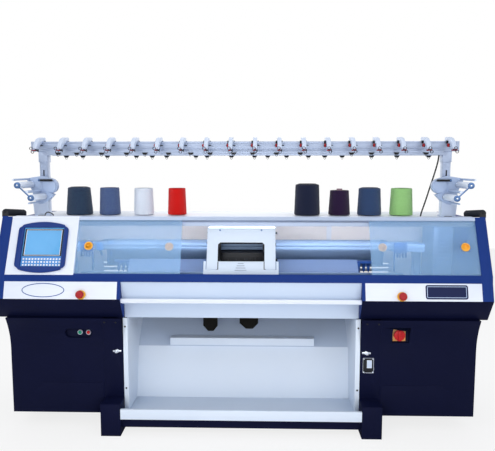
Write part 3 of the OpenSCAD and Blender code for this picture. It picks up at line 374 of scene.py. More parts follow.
print("Materials")
finishRows = {
    "navyPowderCoat": (powderCoat, "#0E1230", "#0B0F28", 0.5, 0.06),
    "bluePowderCoat": (powderCoat, "#1C387E", "#193477", 0.45, 0.08),
    "whitePowderCoat": (powderCoat, "#E8EEF9", "#E1E8F6", 0.5),
    "palePowderCoat": (powderCoat, "#CBD9EC", "#C3D3E9", 0.5),
    "bayPowderCoat": (powderCoat, "#DEE8F5", "#D7E3F2", 0.5),
    "tablePowderCoat": (powderCoat, "#F1F5FC", "#EBF1FA", 0.5),
    "wallPowderCoat": (powderCoat, "#EFECEF", "#E9E6EA", 0.55),
    "groundSteel": (drawnMetal, "#5A7096", "#536A90", 0.55, 0.1),
    "polishedSteel": (drawnMetal, "#7C96B8", "#728CB0", 0.4, 0.2),
    "anodisedAluminium": (drawnMetal, "#AEBBD2", "#A3B1CA", 0.4, 0.3),
    "anodisedBlue": (drawnMetal, "#5274A6", "#476896", 0.25, 0.4),
    "chromePlate": (drawnMetal, "#D8DEEA", "#C8D0DE", 0.16, 0.9),
    "blackOxide": (powderCoat, "#131419", "#1A1B20", 0.45, 0.2, 3.0),
    "blueCasting": (powderCoat, "#4A82C6", "#3F74B8", 0.42, 0.3, 3.0),
    "greyCasting": (powderCoat, "#7F9AC4", "#7290BC", 0.5, 0.3, 3.0),
    "housingPaint": (powderCoat, "#AFC0DC", "#A2B5D4", 0.42, 0.3, 4.0),
    "blackAbs": (mouldedPlastic, "#101116", "#18191F", 0.42, 0.25),
    "paleAbs": (mouldedPlastic, "#CFDBEE", "#C5D3EA", 0.42),
    "peachAbs": (mouldedPlastic, "#F3CFA0", "#EDC592", 0.4),
    "amberAbs": (mouldedPlastic, "#F5B335", "#EEA524", 0.35),
    # painted shade in the recesses of the front window pulls
    "orangeAbs": (mouldedPlastic, "#E2641E", "#D85616", 0.35),
    "whitePolyamide": (mouldedPlastic, "#E2EAF6", "#D9E3F2", 0.4),
    "blueAbs": (mouldedPlastic, "#17367E", "#143174", 0.32, 0.15),
    "redAbs": (mouldedPlastic, "#BE141B", "#AE1118", 0.3, 0.25),
    "darkRedAbs": (mouldedPlastic, "#A81A22", "#98161D", 0.34, 0.25),
    "greenAbs": (mouldedPlastic, "#149070", "#108263", 0.3, 0.3),
    "yellowAbs": (mouldedPlastic, "#F2B228", "#E8A51C", 0.34, 0.3),
    # tan of the main switch plate, and painted shade in the recesses of the rear window pulls
    "tanAbs": (mouldedPlastic, "#E0A660", "#D89C54", 0.38),
    "foamRubber": (mouldedPlastic, "#23262C", "#2D3138", 0.9, 0.15, 3.0, 0.6),
    "cableSheath": (mouldedPlastic, "#0F1014", "#17181C", 0.5, 0.25, 2.0),
    "glazedCeramic": (mouldedPlastic, "#E4E9F2", "#DADFEA", 0.15, 0.5, 1.0, 0.02),
    "panelPowderCoat": (powderCoat, "#D9E5F4", "#D2E0F1", 0.5),
    "ribPaint": (powderCoat, "#AEBACA", "#A5B2C3", 0.5),
    "screenGlass": (mouldedPlastic, "#66B0E6", "#5BA6DF", 0.15, 0.3, 2.0, 0.02),
    "keypadFilm": (mouldedPlastic, "#4E93D9", "#4488D0", 0.4),
    "keyPrint": (mouldedPlastic, "#EEF3FB", "#E4EBF7", 0.45),
    "platePaint": (powderCoat, "#131F4A", "#111B42", 0.4, 0.15),
    "platePale": (powderCoat, "#B9CBE6", "#AEC2E0", 0.4, 0.2),
    "clampCasting": (powderCoat, "#24498A", "#1F4080", 0.42, 0.2, 3.0),
    # painted shade: the upper back panel of the bay, darker than the rest of the bay
    "shadePowderCoat": (powderCoat, "#B6C4D8", "#AEBDD3", 0.5),
    "ovalPaint": (powderCoat, "#2E5597", "#294E8E", 0.4, 0.2),
    # painted shade: the carriage's front panel, slightly darker than the cover
    "fasciaPowderCoat": (powderCoat, "#CFDDF0", "#C9D8ED", 0.5),
    "tintedAcrylic": (tintedAcrylic, "#9CCBF8", "#A6D2F9", 0.19),
    "knitFabric": (knitted, "#121110", "#22211D"),
    "coreCard": (mouldedPlastic, "#A98E98", "#9C828E", 0.8, 0.2, 2.0, 0.2),
}
finishes = {name: make(name, *values) for name, (make, *values) in finishRows.items()}
cable.data.materials.append(finishes["cableSheath"])

# Which finish each node of the frame wears, and the width of its rounded edges in mm. A node with 0 stays
# as it is, and a copy with less than the least bevel keeps its sharp edges
leastBevel = 0.3
dress = {
    "base_frame": ("navyPowderCoat", 3.0),
    "column_covers": ("navyPowderCoat", 1.5),
    "cabinet_left": ("navyPowderCoat", 1.5),
    "cabinet_right": ("navyPowderCoat", 1.5),
    "hood_end_left": ("bluePowderCoat", 2.5),
    "hood_end_right": ("bluePowderCoat", 2.5),
    "front_band": ("bluePowderCoat", 1.0),
    "nose_strips": ("whitePowderCoat", 1.0),
    "apron": ("palePowderCoat", 1.5),
    "start_bar": ("whitePowderCoat", 1.0),
    "bay_liner": ("bayPowderCoat", 0.8),
    "cloth_tray": ("bayPowderCoat", 0.8),
    "needle_bed_front": ("groundSteel", 0.0),
    "needle_bed_rear": ("groundSteel", 0.0),
    "guide_rails": ("polishedSteel", 0.8),
    "rail_brackets": ("greyCasting", 1.5),
    "yarn_clamps": ("clampCasting", 1.0),
    "drive_cover": ("greyCasting", 2.0),
    "carriage_cover": ("panelPowderCoat", 1.5),
    "carriage_cam_box": ("blackOxide", 1.5),
    "yarn_feeder_1": ("blueCasting", 0.5),
    "yarn_feeder_2": ("blueCasting", 0.5),
    "yarn_feeder_3": ("blueCasting", 0.5),
    "take_down_roller": ("foamRubber", 1.0),
    "console_panel": ("whitePowderCoat", 1.5),
    "console_bezel": ("blueAbs", 2.0),
    "touch_screen": ("screenGlass", 0.6),
    "membrane_keypad": ("keypadFilm", 0.1),
    "top_rail": ("anodisedAluminium", 0.8),
    "window_left_front": ("tintedAcrylic", 0.2),
    "window_left_rear": ("tintedAcrylic", 0.2),
    "window_right_front": ("tintedAcrylic", 0.2),
    "window_right_rear": ("tintedAcrylic", 0.2),
    "yarn_table": ("tablePowderCoat", 1.0),
    "rear_cover": ("wallPowderCoat", 1.0),
    "masts": ("anodisedAluminium", 1.0),
    "tension_beam": ("anodisedAluminium", 1.0),
    "yarn_guides": ("blackAbs", 0.2),
    "tensioner_arms": ("paleAbs", 1.5),
    "yarn_tensioners": ("blackAbs", 0.2),
    "feed_unit_left": ("housingPaint", 1.0),
    "feed_unit_right": ("housingPaint", 1.0),
    "feed_roller_left_upper": ("whitePolyamide", 1.5),
    "feed_roller_left_lower": ("whitePolyamide", 1.5),
    "feed_roller_right_upper": ("whitePolyamide", 1.5),
    "feed_roller_right_lower": ("whitePolyamide", 1.5),
    "guide_roller_left": ("foamRubber", 3.0),
    "guide_roller_right": ("foamRubber", 3.0),
    "stop_collars": ("yellowAbs", 0.5),
    "stop_button_left": ("darkRedAbs", 2.0),
    "stop_button_right": ("darkRedAbs", 2.0),
    "start_button": ("greenAbs", 0.8),
    "halt_button": ("redAbs", 0.8),
    "main_switch_plate": ("tanAbs", 0.8),
    "main_switch_knob": ("redAbs", 1.5),
    "cover_latch_left": ("chromePlate", 0.8),
    "cover_latch_right": ("chromePlate", 0.8),
}


# A copy of a node of the frame, with its loose triangles merged and its sharp edges rounded
def dressedCopy(nodeName, finish, edge):
    source = nodes[nodeName]
    piece = copyOf(source, nodeName)
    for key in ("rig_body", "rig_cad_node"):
        if key in piece:
            del piece[key]
    piece.parent = None
    editAll(piece)
    bpy.ops.mesh.remove_doubles(threshold=0.00001)
    bpy.ops.mesh.dissolve_limited(angle_limit=math.radians(0.5))
    leaveEditing()
    if edge > leastBevel:
        bevelled(piece, edge)
    words = nodeName.split("_")
    name = words[0] + "".join(w.capitalize() for w in words[1:])
    finishPiece(piece, name, source["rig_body"], finishes[finish])
    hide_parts(nodeName)
    return piece


print("Dressing the frame's own nodes")
dressed = {}
for nodeName, (finish, edge) in dress.items():
    nodes[nodeName].data.materials.clear()
    nodes[nodeName].data.materials.append(finishes[finish])
    if edge > 0:
        dressed[nodeName] = dressedCopy(nodeName, finish, edge)
for nodeName in ("yarn_cones", "knitted_pieces", "sensor_cable"):
    nodes[nodeName].data.materials.clear()
    nodes[nodeName].data.materials.append(finishes["knitFabric"])

# Slopes in mm: where they start in y and z, and how far they lean from upright
slopeValues = {"foot": (-383.7, 917.0), "leanDegrees": 23.86}  # windows and console
stripValues = {"foot": (-413.7, 787.0), "leanDegrees": 15.62}  # pale strips on the nose


def onLeaning(values, y, z):  # distance up the slope and height above it
    lean = math.radians(values["leanDegrees"])
    footY, footZ = values["foot"]
    along = (y - footY) * math.sin(lean) + (z - footZ) * math.cos(lean)
    above = -(y - footY) * math.cos(lean) + (z - footZ) * math.sin(lean)
    return along, above


def fromLeaning(values, along, above):  # the other way round: y and z
    lean = math.radians(values["leanDegrees"])
    footY, footZ = values["foot"]
    return (footY + along * math.sin(lean) - above * math.cos(lean),
            footZ + along * math.cos(lean) + above * math.sin(lean))


def between(value, limits):
    return limits[0] < value < limits[1]


# Hood ends: dark chin, black ends that hold the guide roller, pale inner walls
hoodValues = {
    "chinCut": 787.2, "chinTop": 788, "front": -280, "chinFacing": -0.15,
    "holder": (0, -245, 1231), "holderLeanDegrees": 5.35, "holderMargin": 0.5,
    "wallLow": 900, "wallOut": 1320, "wallFacing": 0.9,
}
print("Second colours of moulded and painted pieces")
holderLean = math.radians(hoodValues["holderLeanDegrees"])
holderY, holderZ = hoodValues["holder"][1:]
for side in ("left", "right"):
    hoodEnd = dressed["hood_end_" + side]
    cut(hoodEnd, (0, 0, hoodValues["chinCut"]), (0, 0, 1))
    paint(hoodEnd, "navyPowderCoat", lambda x, y, z: z < hoodValues["chinTop"] and y < hoodValues["front"],
          lambda n: n.y < hoodValues["chinFacing"])
    cut(hoodEnd, hoodValues["holder"], (0, math.sin(holderLean), math.cos(holderLean)))
    paint(hoodEnd, "blackAbs", lambda x, y, z: y < 0
          and z > holderZ - hoodValues["holderMargin"] - (y - holderY) * math.tan(holderLean))
    paint(hoodEnd, "wallPowderCoat", lambda x, y, z: z > hoodValues["wallLow"]
          and y > hoodValues["front"] and abs(x) < hoodValues["wallOut"],
          lambda n: abs(n.x) > hoodValues["wallFacing"])

# Sloping back panel of the bay: above the lip it gets a darker colour as painted shade; and the white end of
# the top rail
panelShadeValues = {"low": 400, "facing": (-0.8, -0.7)}
railValues = {"cut": -926.5, "whiteEnd": -926}
# painted shade on the faces of the back panel above the lip
paint(dressed["bay_liner"], "shadePowderCoat", lambda x, y, z: z > panelShadeValues["low"],
      lambda n: between(n.y, panelShadeValues["facing"]))
pick(dressed["top_rail"])
bpy.ops.object.shade_flat()
cut(dressed["top_rail"], (railValues["cut"], 0, 0), (1, 0, 0))
paint(dressed["top_rail"], "whitePowderCoat", lambda x, y, z: x < railValues["whiteEnd"])

# Dark red pieces of each tensioner: round ones lie about an axis along X, and the lever is a thin wire
tensionerValues = {
    "count": 18, "pitch": 148.0,
    "round": [
        {"across": (-25.2, -13.8), "y": 27, "z": 1642, "radius": 10.7},
        {"across": (-13.2, 11.9), "y": -16, "z": 1611, "radius": 4},
    ],
    "lever": {"across": (-3.1, 3.1), "y": (-74.5, -7), "z": (1608.5, 1614.5)},
}


def fromTensioner(x):  # sideways distance from the nearest tensioner
    half = (tensionerValues["count"] - 1) / 2
    return x - (round(x / tensionerValues["pitch"] + half) - half) * tensionerValues["pitch"]


tensioners = dressed["yarn_tensioners"]
for values in tensionerValues["round"]:
    paint(tensioners, "darkRedAbs", lambda x, y, z: between(fromTensioner(x), values["across"])
          and math.hypot(y - values["y"], z - values["z"]) < values["radius"])
lever = tensionerValues["lever"]
paint(tensioners, "darkRedAbs", lambda x, y, z: between(fromTensioner(x), lever["across"])
      and between(y, lever["y"]) and between(z, lever["z"]))

# Ceramic eyes at the lower ends of the yarn guides, in the rear and in the front row
guideValues = {"rearEyeTop": 1570.8, "frontEyeTop": 1586.8, "frontRow": 40}
paint(dressed["yarn_guides"], "glazedCeramic", lambda x, y, z: z < guideValues["rearEyeTop"]
      or (y < guideValues["frontRow"] and z < guideValues["frontEyeTop"]))

# Round pulls of the windows: window, place along X, colour of the rim, and a darker colour on the recess as
# painted shade
pullValues = {
    "along": 168, "radius": 24.6, "recess": 17,
    "rows": [
        ("window_left_front", -858, "amberAbs", "orangeAbs"),
        ("window_left_rear", -404, "peachAbs", "tanAbs"),
        ("window_right_rear", 789, "peachAbs", "tanAbs"),
        ("window_right_front", 1243, "amberAbs", "orangeAbs"),
    ],
}
for nodeName, pullX, rimFinish, recessShadeFinish in pullValues["rows"]:
    for finish, radius in ((rimFinish, pullValues["radius"]), (recessShadeFinish, pullValues["recess"])):
        paint(dressed[nodeName], finish, lambda x, y, z: math.hypot(
            x - pullX, onLeaning(slopeValues, y, z)[0] - pullValues["along"]) < radius)

# Raised keys on the keypad, by their height above the slope
keypadValues = {"keyBase": 2.6}
paint(dressed["membrane_keypad"], "keyPrint",
      lambda x, y, z: onLeaning(slopeValues, y, z)[1] > keypadValues["keyBase"])

# Feed units: white front plate with blue hubs, black guide rod and foot, pale stand, ends of the rollers
unitValues = {
    "plate": -158, "hubs": [(1315, 1404), (1238, 1330)], "hubRadius": 19,
    "rod": {"y": (23, 38), "z": (1422, 1436)},
    "foot": {"back": 41, "top": 1212.5},
    "stand": {"front": 39, "z": (1205, 1319)},
    "rollerBack": 28, "rollerFront": -161,
}
unitRod, unitFoot, unitStand = unitValues["rod"], unitValues["foot"], unitValues["stand"]
for side in ("left", "right"):
    unit = dressed["feed_unit_" + side]
    paint(unit, "whitePolyamide", lambda x, y, z: y < unitValues["plate"])
    paint(unit, "anodisedBlue", lambda x, y, z: y < unitValues["plate"] and any(
        math.hypot(abs(x) - hubX, z - hubZ) < unitValues["hubRadius"] for hubX, hubZ in unitValues["hubs"]))
    paint(unit, "blackAbs", lambda x, y, z: between(y, unitRod["y"]) and between(z, unitRod["z"]))
    paint(unit, "blackAbs", lambda x, y, z: y < unitFoot["back"] and z < unitFoot["top"])
    paint(unit, "paleAbs", lambda x, y, z: y > unitStand["front"] and between(z, unitStand["z"]))
    for place in ("upper", "lower"):
        roller = dressed["feed_roller_" + side + "_" + place]
        paint(roller, "blackAbs", lambda x, y, z: y > unitValues["rollerBack"])
        paint(roller, "chromePlate", lambda x, y, z: y < unitValues["rollerFront"])

# Painted shade: the slots of the masts are painted black where shade falls into them
mastSlotShade = {"x": 1249, "y": 96, "halfWidth": 4.6, "halfDepth": 18}
paint(dressed["masts"], "blackAbs", lambda x, y, z: abs(abs(x) - mastSlotShade["x"]) < mastSlotShade["halfWidth"]
      and abs(y - mastSlotShade["y"]) < mastSlotShade["halfDepth"])

# Eight yarn cones on their paper cores: place along X, lower and upper radius, height, two yarn colours
coneValues = {
    "tableZ": 1206, "y": 156, "underside": 4, "topGap": 1, "edge": 5.0, "bands": 12,
    "shoulderShares": (0.5, 0.45), "shoulderSink": 2,
    "core": {"radius": 26, "taper": 8, "wall": 3, "bore": 60, "edge": 0.8, "topGap": 3,
             "proud": {"plumYarn": 12}},
    "rows": [
        ("slateYarn", -1056, 84, 70, 176, "#28304E", "#2F4A60"),
        ("dustyBlueYarn", -859, 67, 60, 176, "#46538A", "#587090"),
        ("whiteYarn", -640, 64, 58, 173, "#E4EEFB", "#EDF2FC"),
        ("scarletYarn", -426, 60, 54, 173, "#E0120A", "#D00E08"),
        ("navyYarn", 404, 82, 75, 196, "#111B38", "#141A32"),
        ("plumYarn", 608, 69, 59, 160, "#260C38", "#1F0A2E"),
        ("tealYarn", 798, 76, 68, 173, "#2C4A6C", "#33406A"),
        ("limeYarn", 999, 73, 65, 173, "#A4D68A", "#96CC7C"),
    ],
}


def coneBlank(x, lower, upper, low, high, vertices):  # heights are measured from the table
    bpy.ops.mesh.primitive_cone_add(
        vertices=vertices, radius1=lower * mm, radius2=upper * mm, depth=(high - low) * mm,
        location=(x * mm, coneValues["y"] * mm, (coneValues["tableZ"] + (high + low) / 2) * mm))
    piece = bpy.context.object
    settle(piece)
    return piece


def makeCone(name, x, lower, upper, height, material):
    low, high = coneValues["underside"], height - coneValues["topGap"]
    cone = coneBlank(x, lower, upper, low, high, 64)
    bevelled(cone, coneValues["edge"], 4, 60)
    # The shoulder sinks in towards the core, above and below
    shoulder = upper - coneValues["edge"] - coneValues["core"]["radius"]
    for direction in (1, -1):
        selectFaces(cone, lambda c, n: n.z * direction > square)
        for share in coneValues["shoulderShares"]:
            inset(shoulder * share)
            shift(0, 0, -direction * coneValues["shoulderSink"])
        leaveEditing()
    # The wall is cut into bands, so that the winding can bulge a little
    for band in range(1, coneValues["bands"]):
        cut(cone, (0, 0, coneValues["tableZ"] + low + (high - low) * band / coneValues["bands"]), (0, 0, 1))
    middle = Vector((x * mm, coneValues["y"] * mm))
    layer = cone.data.uv_layers.new(name="winding")
    for vertex in cone.data.vertices:
        out = Vector((vertex.co.x, vertex.co.y)) - middle
        share = (vertex.co.z / mm - coneValues["tableZ"]) / high
        if out.length > upper * mm * 0.9:  # the wall waves by up to a millimetre
            wave = 0.5 * math.sin(share * 19 + x) + 0.4 * math.sin(share * 41 + 2 * math.atan2(out.y, out.x))
            out *= 1 - 0.006 * (1 + wave)
            vertex.co.x, vertex.co.y = middle + out
    for loop in cone.data.loops:
        place = cone.data.vertices[loop.vertex_index].co
        out = Vector((place.x, place.y)) - middle
        layer.data[loop.index].uv = (math.atan2(out.y, out.x) * lower * mm, place.z + out.length * 0.3)
    return finishPiece(cone, name, "machine", material, 50)


def makeCore(name, x, height):  # the paper core stands out below the yarn, and above it on one cone
    values = coneValues["core"]
    tall = height - values["topGap"] + values["proud"].get(name, 0)
    core = coneBlank(x, values["radius"], values["radius"] - values["taper"], 0, tall, 32)
    selectFaces(core, lambda c, n: n.z > square)
    inset(values["wall"])
    extrude(0, 0, -values["bore"])
    leaveEditing()
    bevelled(core, values["edge"], 2, 60)
    finishPiece(core, name + "Core", "machine", finishes["coreCard"])


print("Yarn cones")
for name, x, lower, upper, height, code, otherCode in coneValues["rows"]:
    material = woundYarn("matt" + name[0].upper() + name[1:], code, otherCode)
    makeCone(name, x, lower, upper, height, material)
    makeCore(name, x, height)
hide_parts("yarn_cones")

# Two pieces of black knitting: left and right edge, lowest point, phase of the folds
knitValues = {
    "y": -86.2, "top": 642, "thickness": 1.6, "across": 30, "down": 34,
    "side": 3, "cornerRise": 34, "leftCorner": 0.34, "rightCorner": 0.3,
    "pieces": [("knittingLeft", -242, -148, 516, 3.0), ("knittingRight", -20, 99, 532, 11.0)],
}


def knitOutline(left, right, low):
    top = knitValues["top"]
    return [(left + 6, top), (right, top), (right - 8, low + 34), (right - 34, low),
            (left + 30, low + 2), (left, low + 36)]


def shoelace(corners):
    pairs = zip(corners, corners[1:] + corners[:1])
    return abs(sum(a[0] * b[1] - b[0] * a[1] for a, b in pairs)) / 2


def makeKnit(name, left, right, low, phase):
    top = knitValues["top"]
    bpy.ops.mesh.primitive_grid_add(x_subdivisions=knitValues["across"], y_subdivisions=knitValues["down"],
                                    size=1)
    knit = bpy.context.object
    layer = knit.data.uv_layers.new(name="loops")
    for vertex in knit.data.vertices:
        across, down = vertex.co.x + 0.5, 0.5 - vertex.co.y
        # The lower edge is cut off at the corners, so the columns end at different heights
        x = left + knitValues["side"] + across * (right - left - 2 * knitValues["side"])
        rise = max(0, knitValues["leftCorner"] - across) / knitValues["leftCorner"]
        rise += max(0, across - 1 + knitValues["rightCorner"]) / knitValues["rightCorner"]
        z = top - down * (top - low - knitValues["cornerRise"] * rise)
        # The columns fold in slow waves, and the hem curls to the front
        fold = 1.1 * math.sin(across * 9 + phase) * down + 0.5 * math.sin(down * 7 + phase)
        curl = -3.5 * max(0, down - 0.86) ** 2 * 50
        vertex.co = (x * mm, (knitValues["y"] + fold * 0.6 + curl) * mm, z * mm)
    for loop in knit.data.loops:
        place = knit.data.vertices[loop.vertex_index].co
        layer.data[loop.index].uv = (place.x, place.z)
    thick = knit.modifiers.new("thickness", "SOLIDIFY")
    thick.thickness = knitValues["thickness"] * mm
    thick.offset = 0
    applyModifiers(knit)
    finishPiece(knit, name, "machine", finishes["knitFabric"], 60)
    shoelace(knitOutline(left, right, low)) * mm * mm
    return knit


print("Knitted pieces")
knits = [makeKnit(*row) for row in knitValues["pieces"]]
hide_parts("knitted_pieces")


# Thin trim, made upright at the origin and then laid on a leaning face
def leanBack(piece, values, x, along, above):
    y, z = fromLeaning(values, along, above)
    piece.rotation_euler = (-math.radians(values["leanDegrees"]), 0, 0)
    putAt(piece, x, y, z)
    settle(piece)


def raisedLine(sheet, line, proud):  # a flat sheet becomes a line along its edge
    selectFaces(sheet, lambda c, n: True)
    inset(line)
    bpy.ops.mesh.delete(type="FACE")
    bpy.ops.mesh.select_all(action="SELECT")
    extrude(0, proud, 0)
    closeSolid()


def barePlate(values, finishNames):  # rounded corners, and a field inside one or two steps
    plate = cuboid(values["width"], values["proud"], values["height"])
    selectNothing(plate, "EDGE")
    for edge in plate.data.edges:
        ends = [plate.data.vertices[i].co for i in edge.vertices]
        edge.select = abs(ends[0].y - ends[1].y) > values["proud"] * mm * 0.9
    bpy.ops.object.mode_set(mode="EDIT")
    bpy.ops.mesh.bevel(offset=values["corner"] * mm, segments=5, affect="EDGES")
    leaveEditing()
    plate.data.materials.clear()
    for finishName in finishNames:
        plate.data.materials.append(finishes[finishName])
    selectFaces(plate, lambda c, n: n.y < -square)
    for index, step in enumerate(values["steps"], 1):
        inset(step)
        bpy.context.object.active_material_index = index
        bpy.ops.object.material_slot_assign()
        shift(0, 0.5 if index == 1 else -0.25, 0)
    leaveEditing()
    return plate


# Oval outline on the left strip, bare plate on the right one
ovalValues = {"x": -1092.5, "along": 49, "halfWidth": 119, "halfHeight": 39, "line": 4.0, "proud": 0.8}
plateValues = {"x": 1121, "along": 50, "width": 228, "height": 77, "corner": 12, "proud": 2.4,
               "steps": (7.5, 3.0)}
print("Plates and marks")
bpy.ops.mesh.primitive_circle_add(vertices=72, radius=1, fill_type="NGON", rotation=(math.pi / 2, 0, 0))
oval = bpy.context.object
settle(oval)
stretched(oval, ovalValues["halfWidth"] * mm, 1, ovalValues["halfHeight"] * mm)
raisedLine(oval, ovalValues["line"], ovalValues["proud"])
leanBack(oval, stripValues, ovalValues["x"], ovalValues["along"], ovalValues["proud"])
finishPiece(oval, "ovalOutline", "machine", finishes["ovalPaint"])
modelPlate = barePlate(plateValues, ("platePaint", "platePale", "platePaint"))
leanBack(modelPlate, stripValues, plateValues["x"], plateValues["along"], plateValues["proud"] / 2)
finishPiece(modelPlate, "modelPlate", "machine", None)

# Plate on the right column cover: black field, pale square and four rivets, each so far out from the cover
ratingValues = {
    "x": 724, "z": 388, "width": 62, "height": 88, "corner": 4, "proud": 3.0,
    "steps": (1.8, 0.8), "out": 1.2,
    "field": {"x": 730, "z": 396, "width": 28, "height": 46, "corner": 1.5, "proud": 1.2,
              "steps": (1.0, 0.8), "out": 2.6},
    "rivets": [(-25, -38), (25, -38), (-25, 38), (25, 38)], "rivetOut": 3.2, "rivetScale": (0.6, 0.5, 0.6),
}
ratingY = frontOf(dressed["column_covers"], ratingValues["x"], ratingValues["z"])
for name, values, finishNames in (
        ("ratingPlate", ratingValues, ("chromePlate", "blackAbs", "blackAbs")),
        ("ratingField", ratingValues["field"], ("whitePolyamide", "whitePolyamide", "paleAbs"))):
    plate = barePlate(values, finishNames)
    putAt(plate, values["x"], ratingY - values["out"], values["z"])
    finishPiece(plate, name, "machine", None)

# White frame line on the screen, and outside it a black ring as painted shade of the recess: width, height,
# line, height above the slope
screenValues = {
    "x": -1115.5, "along": 185.5, "proud": 0.8,
    "lines": [
        ("screenFrame", 203, 151, 2.4, 3.6, "keyPrint"),
        ("screenBorder", 220, 160, 9.0, 3.3, "blackAbs"),
    ],
}
for name, width, height, thickness, above, finish in screenValues["lines"]:
    bpy.ops.mesh.primitive_plane_add(size=1, rotation=(math.pi / 2, 0, 0))
    line = bpy.context.object
    settle(line)
    stretched(line, width * mm, 1, height * mm)
    raisedLine(line, thickness, screenValues["proud"])
    leanBack(line, slopeValues, screenValues["x"], screenValues["along"], above)
    finishPiece(line, name, "machine", finishes[finish])

# Cap screws with a round socket, modelled once looking to -Y: body, carrier, finish, places in x and z
screwValues = {
    "radius": 5.0, "height": 4.0, "edge": 0.7, "wall": 1.9, "socket": 2.2, "sunk": 0.3,
    "rows": [
        ("carriage", "carriage_cover", "greyCasting", [(-122, 1152), (115, 1152)]),
        ("machine", "bay_liner", "blackOxide", [(-664, 604), (664, 604), (-664, 240), (664, 240)]),
        ("machine", "column_covers", "blackOxide", [(-770, 640), (-706, 640), (706, 640), (770, 640)]),
    ],
}
firstScrew = rod((math.pi / 2, 0, 0), screwValues["radius"], screwValues["height"], 20)
bevelled(firstScrew, screwValues["edge"], 2, 60)
selectFaces(firstScrew, lambda c, n: n.y < -square)
inset(screwValues["wall"])
extrude(0, screwValues["socket"], 0)
leaveEditing()
number = 0
for body, carrier, finish, places in screwValues["rows"]:
    for x, z in places:
        number += 1
        name = "capScrew" + str(number)
        y = frontOf(dressed[carrier], x, z) - screwValues["height"] / 2 + screwValues["sunk"]
        screw = copyOf(firstScrew, name)
        putAt(screw, x, y, z)
        finishPiece(screw, name, body, finishes[finish])
for number, (x, z) in enumerate(ratingValues["rivets"], 1):
    name = "plateRivet" + str(number)
    rivet = copyOf(firstScrew, name)
    rivet.scale = ratingValues["rivetScale"]
    putAt(rivet, ratingValues["x"] + x, ratingY - ratingValues["rivetOut"], ratingValues["z"] + z)
    finishPiece(rivet, name, "machine", finishes["whitePolyamide"])
bpy.data.objects.remove(firstScrew)

# Carriage: front panel between the pillars, painted slightly darker than the cover as painted shade; black
# strips beside the base as painted shadow of the slots; grip ribs and side bumpers
carriageValues = {
    "fascia": {"foot": (-302.7, 982.0), "leanDegrees": 23.12},
    "base": {"foot": (-343.7, 899.0), "leanDegrees": 26.29},
    "panel": {"low": 115, "high": 190, "halfWidth": 134, "proud": 1.2},
    "slots": {"x": 131, "low": 46, "high": 92, "width": 7, "proud": 0.8},
    "ribs": {"x": -2, "widths": (66, 55, 44, 33), "along": (42, 55, 68, 81), "height": 4.5, "proud": 2.0},
    "bumper": {"radius": 8, "length": 15, "side": 194, "sunk": 1, "rim": 2.5, "edge": 2.0},
    "bumperPlaces": [(-1, -150, 1066), (-1, -150, 1012), (-1, -150, 966), (1, -150, 1126), (1, -150, 966)],
}


# A thin slab with a raised middle, on a leaning face
def slabOn(name, values, x, low, high, width, proud, finish, body, edge=0.5):
    slab = cuboid(width, proud, high - low)
    selectFaces(slab, lambda c, n: n.y < -square)
    inset(min(width, high - low) * 0.12)
    shift(0, -0.2, 0)
    leaveEditing()
    bevelled(slab, edge, 2, 60)
    leanBack(slab, values, x, (low + high) / 2, proud / 2)
    return finishPiece(slab, name, body, finishes[finish])


print("Carriage details")
panel, slots, ribs = carriageValues["panel"], carriageValues["slots"], carriageValues["ribs"]
# the front panel is a real panel, painted slightly darker than the cover as painted shade of its recess
slabOn("carriagePanel", carriageValues["fascia"], 0, panel["low"], panel["high"], 2 * panel["halfWidth"],
       panel["proud"], "fasciaPowderCoat", "carriage")
# black strips beside the base: painted shadow of the slots
for number, sign in enumerate((-1, 1), 1):
    slabOn("baseSlot" + str(number), carriageValues["base"], sign * slots["x"], slots["low"], slots["high"],
           slots["width"], slots["proud"], "blackAbs", "carriage", 0.2)
for number, (width, along) in enumerate(zip(ribs["widths"], ribs["along"]), 1):
    slabOn("gripRib" + str(number), carriageValues["base"], ribs["x"], along - ribs["height"] / 2,
           along + ribs["height"] / 2, width, ribs["proud"], "ribPaint", "carriage", 0.6)
bumperValues = carriageValues["bumper"]
firstBumper = rod((0, math.pi / 2, 0), bumperValues["radius"], bumperValues["length"], 24)
selectFaces(firstBumper, lambda c, n: abs(n.x) > square)
inset(bumperValues["rim"])
leaveEditing()
bevelled(firstBumper, bumperValues["edge"], 3, 60)
reach = bumperValues["side"] + bumperValues["length"] / 2 - bumperValues["sunk"]
for number, (sign, y, z) in enumerate(carriageValues["bumperPlaces"], 1):
    name = "sideBumper" + str(number)
    bumper = copyOf(firstBumper, name)
    putAt(bumper, sign * reach, y, z)
    finishPiece(bumper, name, "carriage", finishes["foamRubber"])
bpy.data.objects.remove(firstBumper)

# Black yarn bar with a bright tip on each feed unit: from, to, radius, finish
barValues = {
    "y": 16, "z": 1430, "rim": 2, "dome": 1.02, "edge": 1.5,
    "yarnBar": (1176, 1254, 6.5, "blackAbs"),
    "yarnBarTip": (1253, 1263, 8.0, "anodisedBlue"),
}
print("Feed unit bars")
for sign, side in ((-1, "Left"), (1, "Right")):
    for name in ("yarnBar", "yarnBarTip"):
        low, high, radius, finish = barValues[name]
        bar = rod((0, math.pi / 2, 0), radius, high - low, 28)
        putAt(bar, sign * (low + high) / 2, barValues["y"], barValues["z"])
        settle(bar)
        selectFaces(bar, lambda c, n: abs(n.x) > square)
        inset(barValues["rim"])
        bpy.ops.transform.resize(value=(barValues["dome"], 1, 1))
        leaveEditing()
        bevelled(bar, barValues["edge"], 3, 50)
        finishPiece(bar, name + side, "machine", finishes[finish])

